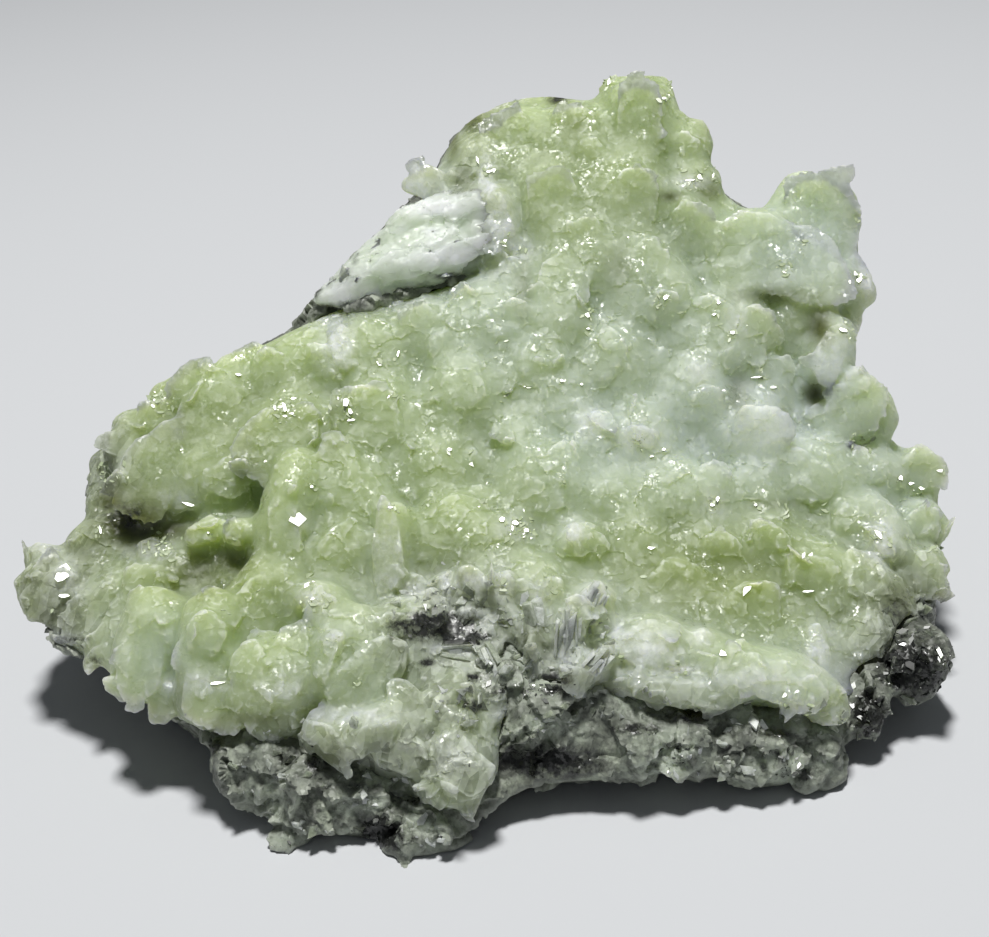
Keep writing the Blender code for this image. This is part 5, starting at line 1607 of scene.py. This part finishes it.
def bump(tree, height, size, strength, normal=None):
    """Bump from a height in cell sizes, where size is one cell in millimetres."""
    values = {"Height": height, "Distance": size * MM, "Strength": strength}
    if normal is not None:
        values["Normal"] = normal
    return add_node(tree, "ShaderNodeBump", values).outputs["Normal"]

# %% [markdown]
# Prehnite is a pale green, waxy to glassy, and light goes a centimetre into it. Subsurface
# scattering gives it that glow. The colour is built in layers: cloudy green, cooler regions, deeper
# regions that also carry painted shade, raised parts and thin rims with painted light and cracks
# with painted shade, white bruises with painted glints, painted shade in olive hollows, and black
# stains with painted shade. Bruised parts scatter less, so their edges stay crisp.

# %% The finish of the prehnite


SPLIT_WAY = (RIGHT * math.sin(math.radians(20)) + UP * math.cos(math.radians(20))).normalized()


def prehnite_finish():
    material, tree, shader = new_finish("pale_green_prehnite")
    place = add_node(tree, "ShaderNodeTexCoord").outputs["Object"]
    cool = mark_value(tree, "cool")
    deep = mark_value(tree, "deep")
    grey = mark_value(tree, "grey")
    height = mark_value(tree, "relief")

    cloud = noise_at(tree, place, 7.0, 4.0)
    fleck = noise_at(tree, place, 1.6, 4.0, 0.65)
    clouds = ramp(tree, cloud, 0.35, 0.7)
    colour = blend_colour(tree, clouds, (0.40, 0.49, 0.262, 1), (0.462, 0.555, 0.325, 1))
    colour = blend_colour(tree, cool, colour, (0.52, 0.60, 0.51, 1))
    # Deeper green, with painted shade in hollows and on the lit apex
    colour = blend_colour(tree, maths(tree, "MULTIPLY", deep, 0.8), colour, (0.30, 0.37, 0.15, 1))
    split = drawn_out(tree, place, SPLIT_WAY, 0.6)
    grain = add_node(tree, "ShaderNodeTexVoronoi", {"Vector": split, "Scale": 1.0 / (0.9 * MM)})
    grain_tone = add_node(tree, "ShaderNodeSeparateColor", {0: grain.outputs["Color"]}).outputs[0]
    smoky = blend_colour(tree, ramp(tree, grain_tone, 0.2, 0.9), (0.20, 0.22, 0.17, 1), (0.52, 0.56, 0.47, 1))
    greyed = maths(tree, "MULTIPLY", grey, ramp(tree, fleck, 0.3, 0.6, 0.6, 1.0))
    colour = blend_colour(tree, greyed, colour, smoky)
    rim = mark_value(tree, "rim")
    # Painted light: raised parts paler, thin rims pale as if lit through the edge; painted shade: cracks
    # below rims darker
    colour = blend_colour(tree, ramp(tree, height, 0.2, 1.0, 0.0, 0.25), colour, (0.62, 0.70, 0.50, 1))
    colour = blend_colour(tree, ramp(tree, rim, 0.15, 0.8, 0.0, 0.55), colour, (0.74, 0.80, 0.64, 1))
    colour = blend_colour(tree, ramp(tree, rim, -0.3, -1.0, 0.0, 0.35), colour, (0.26, 0.32, 0.14, 1))
    colour = blend_colour(tree, ramp(tree, fleck, 0.55, 0.75, 0.0, 0.35), colour, (0.62, 0.68, 0.55, 1))
    frayed = ramp(tree, noise_at(tree, place, 1.2, 5.0, 0.7), 0.35, 0.6)
    # White bruises, with painted glints where the white spots sit on mirroring faces
    veil = maths(tree, "MULTIPLY", mark_value(tree, "white"), ramp(tree, frayed, 0.0, 1.0, 0.35, 1.0))
    colour = blend_colour(tree, veil, colour, (0.80, 0.84, 0.80, 1))
    # Painted shade in hollows and under overhanging plates
    shade = ramp(tree, mark_value(tree, "olive"), 0.05, 0.95)
    colour = blend_colour(tree, shade, colour, (0.09, 0.11, 0.025, 1))
    # Black pockets, and painted shade where the black spots lie in hollows and under rims
    stain_and_shade = maths(tree, "MULTIPLY", mark_value(tree, "black"), ramp(tree, frayed, 1.0, 0.0, 0.5, 1.3))
    colour = blend_colour(tree, ramp(tree, stain_and_shade, 0.25, 0.75), colour, (0.03, 0.032, 0.028, 1))
    tree.links.new(colour, shader.inputs["Base Color"])

    sparkle = ramp(tree, noise_at(tree, place, 3.2, 2.0), 0.5, 0.62)
    rough = ramp(tree, noise_at(tree, place, 0.8, 3.0), 0.3, 0.7, 0.5, 0.68)
    rough = maths(tree, "SUBTRACT", rough, maths(tree, "MULTIPLY", sparkle, 0.28))
    rough = maths(tree, "SUBTRACT", rough, maths(tree, "MULTIPLY", stain_and_shade, 0.25))
    tree.links.new(rough, shader.inputs["Roughness"])
    normal = bump(tree, facet_height(tree, place, 0.9, 0.5), 0.9, 0.25)
    fine = facet_height(tree, place, 0.42, 0.3)
    fine = maths(tree, "MULTIPLY", fine, ramp(tree, sparkle, 0.0, 1.0, 0.3, 1.0))
    normal = bump(tree, fine, 0.42, 0.55, normal)
    tree.links.new(normal, shader.inputs["Normal"])
    shader.inputs["IOR"].default_value = 1.62
    clouded = maths(tree, "MAXIMUM", grey, maths(tree, "MULTIPLY", stain_and_shade, 1.2))
    tree.links.new(ramp(tree, clouded, 0.25, 1.0, 1.0, 0.35), shader.inputs["Subsurface Weight"])
    shader.inputs["Subsurface Radius"].default_value = (1.0, 1.0, 0.6)
    shader.inputs["Subsurface Scale"].default_value = 11.0 * MM
    return material

# %% [markdown]
# The vein is milky white with streaks along its slabs. Noise drawn out along one way makes the
# streaks. Its lower edge by the seam gets painted shade, its raised parts are painted paler and its
# hollows darker.

# %% The finish of the vein


STREAK_WAY = (RIGHT * math.sin(math.radians(60)) + UP * math.cos(math.radians(60))).normalized()


def vein_finish():
    material, tree, shader = new_finish("milky_vein")
    place = add_node(tree, "ShaderNodeTexCoord").outputs["Object"]
    height = mark_value(tree, "relief")
    streaked = drawn_out(tree, place, STREAK_WAY, 0.8)
    streak = noise_at(tree, streaked, 1.6, 5.0, 0.6)
    cloud = noise_at(tree, place, 4.0, 3.0)
    colour = blend_colour(tree, ramp(tree, cloud, 0.35, 0.65), (0.57, 0.65, 0.51, 1), (0.71, 0.78, 0.68, 1))
    colour = blend_colour(tree, ramp(tree, streak, 0.5, 0.7, 0.0, 0.5), colour, (0.76, 0.82, 0.76, 1))
    # Painted light on raised parts and painted shade in hollows
    colour = blend_colour(tree, ramp(tree, height, 0.15, 0.8, 0.0, 0.45), colour, (0.80, 0.86, 0.81, 1))
    colour = blend_colour(tree, ramp(tree, height, -0.4, -1.0, 0.0, 0.3), colour, (0.36, 0.40, 0.30, 1))
    veil = maths(tree, "MULTIPLY", mark_value(tree, "white"), ramp(tree, streak, 0.3, 0.5, 0.5, 1.0))
    colour = blend_colour(tree, veil, colour, (0.86, 0.90, 0.89, 1))
    greener = ramp(tree, mark_value(tree, "merging"), 0.3, 0.9, 0.0, 0.6)
    colour = blend_colour(tree, greener, colour, (0.50, 0.58, 0.42, 1))
    # Painted shade along the lower edge by the seam, and a few dark spots
    stain_and_shade = maths(tree, "MULTIPLY", mark_value(tree, "black"), ramp(tree, streak, 0.6, 0.35, 0.6, 1.3))
    colour = blend_colour(tree, ramp(tree, stain_and_shade, 0.3, 0.7), colour, (0.09, 0.095, 0.085, 1))
    tree.links.new(colour, shader.inputs["Base Color"])
    tree.links.new(ramp(tree, noise_at(tree, place, 0.9), 0.3, 0.7, 0.35, 0.6), shader.inputs["Roughness"])
    normal = bump(tree, facet_height(tree, streaked, 0.6, 0.6), 0.6, 0.4)
    tree.links.new(normal, shader.inputs["Normal"])
    shader.inputs["IOR"].default_value = 1.6
    shader.inputs["Subsurface Weight"].default_value = 1.0
    shader.inputs["Subsurface Radius"].default_value = (1.0, 1.0, 0.9)
    shader.inputs["Subsurface Scale"].default_value = 7.0 * MM
    return material

# %% [markdown]
# The rock is a dark grey green mass with pale grains, altered patches and glossy black lumps. The
# black mark also paints shadow into the cavity under the front edge. Small cells give the grains,
# and two sizes of tilted faces give the bump.

# %% The finish of the rock


def rock_finish():
    material, tree, shader = new_finish("dark_grained_rock")
    place = add_node(tree, "ShaderNodeTexCoord").outputs["Object"]
    height = mark_value(tree, "relief")
    cloud = noise_at(tree, place, 9.0, 4.0)
    grain = add_node(tree, "ShaderNodeTexVoronoi", {"Vector": place, "Scale": 1.0 / (0.55 * MM)})
    grain_tone = add_node(tree, "ShaderNodeSeparateColor", {0: grain.outputs["Color"]}).outputs[0]
    clouds = ramp(tree, cloud, 0.35, 0.65)
    colour = blend_colour(tree, clouds, (0.06, 0.065, 0.055, 1), (0.17, 0.185, 0.15, 1))
    colour = blend_colour(tree, ramp(tree, grain_tone, 0.7, 1.0, 0.0, 0.4), colour, (0.30, 0.32, 0.28, 1))
    altered = ramp(tree, noise_at(tree, place, 3.0, 6.0, 0.65), 0.52, 0.66)
    colour = blend_colour(tree, altered, colour, (0.36, 0.40, 0.31, 1))
    patchy = ramp(tree, noise_at(tree, place, 1.5, 5.0, 0.7), 0.35, 0.55)
    paler = maths(tree, "MULTIPLY", mark_value(tree, "pale"), patchy)
    colour = blend_colour(tree, paler, colour, (0.52, 0.58, 0.47, 1))
    colour = blend_colour(tree, ramp(tree, height, 0.1, 0.8, 0.0, 0.6), colour, (0.46, 0.49, 0.42, 1))
    frayed = ramp(tree, noise_at(tree, place, 1.0, 5.0, 0.7), 0.6, 0.35, 0.6, 1.3)
    # Black lumps, and painted shadow in the cavity under the front edge
    stain_and_shade = maths(tree, "MULTIPLY", mark_value(tree, "black"), frayed)
    colour = blend_colour(tree, ramp(tree, stain_and_shade, 0.3, 0.7), colour, (0.018, 0.019, 0.017, 1))
    tree.links.new(colour, shader.inputs["Base Color"])
    dull = ramp(tree, grain_tone, 0.0, 1.0, 0.42, 0.68)
    rough = maths(tree, "SUBTRACT", dull, ramp(tree, stain_and_shade, 0.3, 0.7, 0.0, 0.24))
    tree.links.new(rough, shader.inputs["Roughness"])
    tree.links.new(ramp(tree, paler, 0.1, 0.8, 0.0, 0.7), shader.inputs["Subsurface Weight"])
    shader.inputs["Subsurface Radius"].default_value = (1.0, 1.0, 0.8)
    shader.inputs["Subsurface Scale"].default_value = 3.0 * MM
    normal = bump(tree, facet_height(tree, place, 1.1, 0.6), 1.1, 0.5)
    normal = bump(tree, facet_height(tree, place, 0.45, 0.4), 0.45, 0.6, normal)
    tree.links.new(normal, shader.inputs["Normal"])
    shader.inputs["IOR"].default_value = 1.55
    return material

# %% [markdown]
# Glinting faces are smooth and glassy. Splinters run from black through grey green to white by
# their own tone, so a crowd of them never looks copied.

# %% Finishes of the small faces


def glint_finish(name, low, high):
    """A glassy face between two colours."""
    material, tree, shader = new_finish(name)
    place = add_node(tree, "ShaderNodeTexCoord").outputs["Object"]
    tone = ramp(tree, noise_at(tree, place, 0.7), 0.35, 0.65)
    colour = blend_colour(tree, tone, low, high)
    tree.links.new(colour, shader.inputs["Base Color"])
    shader.inputs["Roughness"].default_value = 0.26
    shader.inputs["IOR"].default_value = 1.65
    return material


def splinter_finish():
    material, tree, shader = new_finish("broken_glassy_edges")
    place = add_node(tree, "ShaderNodeTexCoord").outputs["Object"]
    fleck = noise_at(tree, place, 0.5, 4.0, 0.7)
    own = ramp(tree, mark_value(tree, "own"), 0.0, 1.0, -0.18, 0.18)
    shade = maths(tree, "ADD", mark_value(tree, "tone"), own)
    shade = maths(tree, "ADD", shade, ramp(tree, fleck, 0.3, 0.7, -0.14, 0.14))
    colour = blend_colour(tree, ramp(tree, shade, 0.1, 0.4), (0.012, 0.013, 0.012, 1), (0.13, 0.15, 0.11, 1))
    colour = blend_colour(tree, ramp(tree, shade, 0.4, 0.65), colour, (0.34, 0.38, 0.29, 1))
    colour = blend_colour(tree, ramp(tree, shade, 0.65, 1.0), colour, (0.76, 0.80, 0.75, 1))
    tree.links.new(colour, shader.inputs["Base Color"])
    tree.links.new(ramp(tree, fleck, 0.3, 0.7, 0.25, 0.45), shader.inputs["Roughness"])
    shader.inputs["IOR"].default_value = 1.6
    shader.inputs["Subsurface Weight"].default_value = 0.6
    shader.inputs["Subsurface Radius"].default_value = (1.0, 1.0, 0.8)
    shader.inputs["Subsurface Scale"].default_value = 1.5 * MM
    return material


glassy = glint_finish("glassy_face", (0.40, 0.48, 0.28, 1), (0.56, 0.62, 0.44, 1))
dark_glassy = glint_finish("dark_glassy_face", (0.02, 0.022, 0.02, 1), (0.09, 0.1, 0.085, 1))

# %% [markdown]
# The glints are scattered by the tree, thickly in each measured group, and the few large mirror
# faces are set one by one.

# %% Set the glinting faces


def scattered_glints(source, name, finish, seed):
    """Small flat faces on a surface, thick where its mark says, most of them near the mirror way."""
    store_vectors(source, "glance", glances_at(points_of(source)))
    piece = link(bpy.data.objects.new(name, source.data.copy()))
    run_tree(piece, scatter_pieces, {
        "Where": "glinting", "Spacing": 0.38 * MM, "Smallest": 0.1 * MM, "Largest": 0.7 * MM,
        "Spread": 0.24, "Follow": 0.22, "Lean": 1.0, "Seed": seed, "Kinds": chips, "Finish": finish,
    })
    report(piece)
    return piece


ROCK_GLINT_SPOTS = [
    (47.0, -20.5, 3.4), (48.5, -23.5, 1.6), (44.5, -23.0, 2.0), (41.0, -27.0, 2.0), (-12.5, -40.0, 1.6),
    (50.0, -16.0, 1.0), (20.0, -31.5, 1.6), (33.0, -33.0, 1.6), (8.0, -19.0, 1.6), (-1.0, -20.0, 1.6),
    (-23.5, -42.0, 1.0), (4.5, -24.5, 1.6),
]
rock_glint_rows = [(across, up, reach, reach, 0.8) for across, up, reach in ROCK_GLINT_SPOTS]
store(rock, "glinting", np.clip(spotted(points_of(rock), rock_glint_rows) * facing_front(rock), 0.0, 1.0))
glints = scattered_glints(crust, "crystal_glints", glassy, 4)
rock_glints = scattered_glints(rock, "rock_glints", dark_glassy, 14)
on_stone = surface_finder([crust, rock], 1)
facets = facet_chips("large_facets", FACETS, on_stone)
facets.data.materials.append(glassy)
report(facets)

# %% [markdown]
# The coarse splinters are welded into the skins. A last layer of fine ones is left loose on top,
# because a remesh would blunt them.

# %% Set the fine splinters
broken = splinter_finish()
splintered = []
for source, name, seed in ((crust, "crust_splinters", 6), (rock, "rock_splinters", 9)):
    piece = splintered_copy(source, name, 0.9, 0.2, 1.1, 0.3, seed, broken)
    report(piece)
    splintered.append(piece)

# %% [markdown]
# In the broken front some crystals split into straight laths, side by side. They are thinner than a
# voxel, so they are built as closed blocks of their own, each with its own width, height, drift and
# broken ends.

# %% Bundles of laths in the broken front
# Each row: across, up, half width, half length, clock, tip, thickness
LATH_BUNDLES = [
    (7.6, -19.2, 0.9, 2.6, 4, 14, 0.5), (8.8, -17.9, 0.8, 2.1, 358, 12, 0.5),
    (11.2, -21.6, 1.0, 2.4, 40, 12, 0.7), (-4.4, -20.2, 0.9, 2.1, 95, 8, 0.5),
    (-0.8, -20.7, 0.9, 1.6, 160, 12, 0.5), (4.6, -16.4, 0.9, 1.6, 350, 12, 0.5),
    (11.2, -14.4, 1.3, 1.5, 30, 12, 0.4),
]
LATH_WIDTH = 0.45


def lath_bundle(work, seed, half_width, half_length, place):
    """Straight laths side by side, each with its own length, slant and square broken ends."""
    dice = random.Random(seed)
    count = max(2, round(2 * half_width / LATH_WIDTH))
    for i in range(count):
        middle = (2 * i + 1) / count - 1
        narrow = dice.uniform(0.6, 1.5) / count
        low = -dice.uniform(0.3, 1.0)
        high = dice.uniform(0.2, 1.0)
        rise = dice.uniform(-0.5, 0.4)
        drift = dice.uniform(-0.35, 0.35)
        slant = dice.uniform(-0.3, 0.3)
        roll = dice.uniform(-0.6, 0.6)
        rings = []
        for scale, height in ((1.0, -1.8), (1.0, 0.1 + rise), (0.7, 0.35 + rise)):
            corners = ((-1, low), (1, low + slant), (1, high + slant), (-1, high))
            rings.append([
                work.verts.new(place(Vector((
                    middle + side * narrow * scale + drift * y, y * scale, height + roll * side * scale,
                ))))
                for side, y in corners
            ])
        close_loops(work, rings)


blades = link(bpy.data.objects.new("pale_blades", bpy.data.meshes.new("pale_blades")))
lay_plates(blades, LATH_BUNDLES, on_stone, lath_bundle)
mark_splinters(blades)
lath_tones = np.random.default_rng(17).uniform(0.2, 1.0, len(blades.data.vertices) // 12)
store(blades, "own", np.repeat(lath_tones, 12))
blades.data.materials.append(broken)
report(blades)
splintered.append(blades)

# %% [markdown]
# The three skins are shaded smooth, with sharp edges kept where faces meet at a steep angle, so
# that breaks stay crisp and grown faces stay soft.

# %% Dress the crust, the vein and the rock


def dress(thing, finish, sharp):
    thing.data.materials.clear()
    thing.data.materials.append(finish)
    thing.data.shade_smooth()
    thing.data.set_sharp_from_angle(angle=math.radians(sharp))


dress(crust, prehnite_finish(), 34)
dress(vein, vein_finish(), 34)
dress(rock, rock_finish(), 38)

# %% [markdown]
# Every piece rides on the specimen's one body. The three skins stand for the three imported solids,
# and the small faces lie on them.

# %% Hand the pieces to the frame
for box in (fans, chips, splinters):
    for kind in list(box.objects):
        bpy.data.objects.remove(kind)
    bpy.data.collections.remove(box)
for piece, node, slot in (
    (crust, "prehnite_crust", "prehnite"),
    (rock, "matrix_rock", "rock"),
    (vein, "white_vein", "vein"),
):
    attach(piece, "root")
    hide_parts(node)
for piece in (glints, rock_glints, facets):
    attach(piece, "root")
for piece in splintered:
    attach(piece, "root")
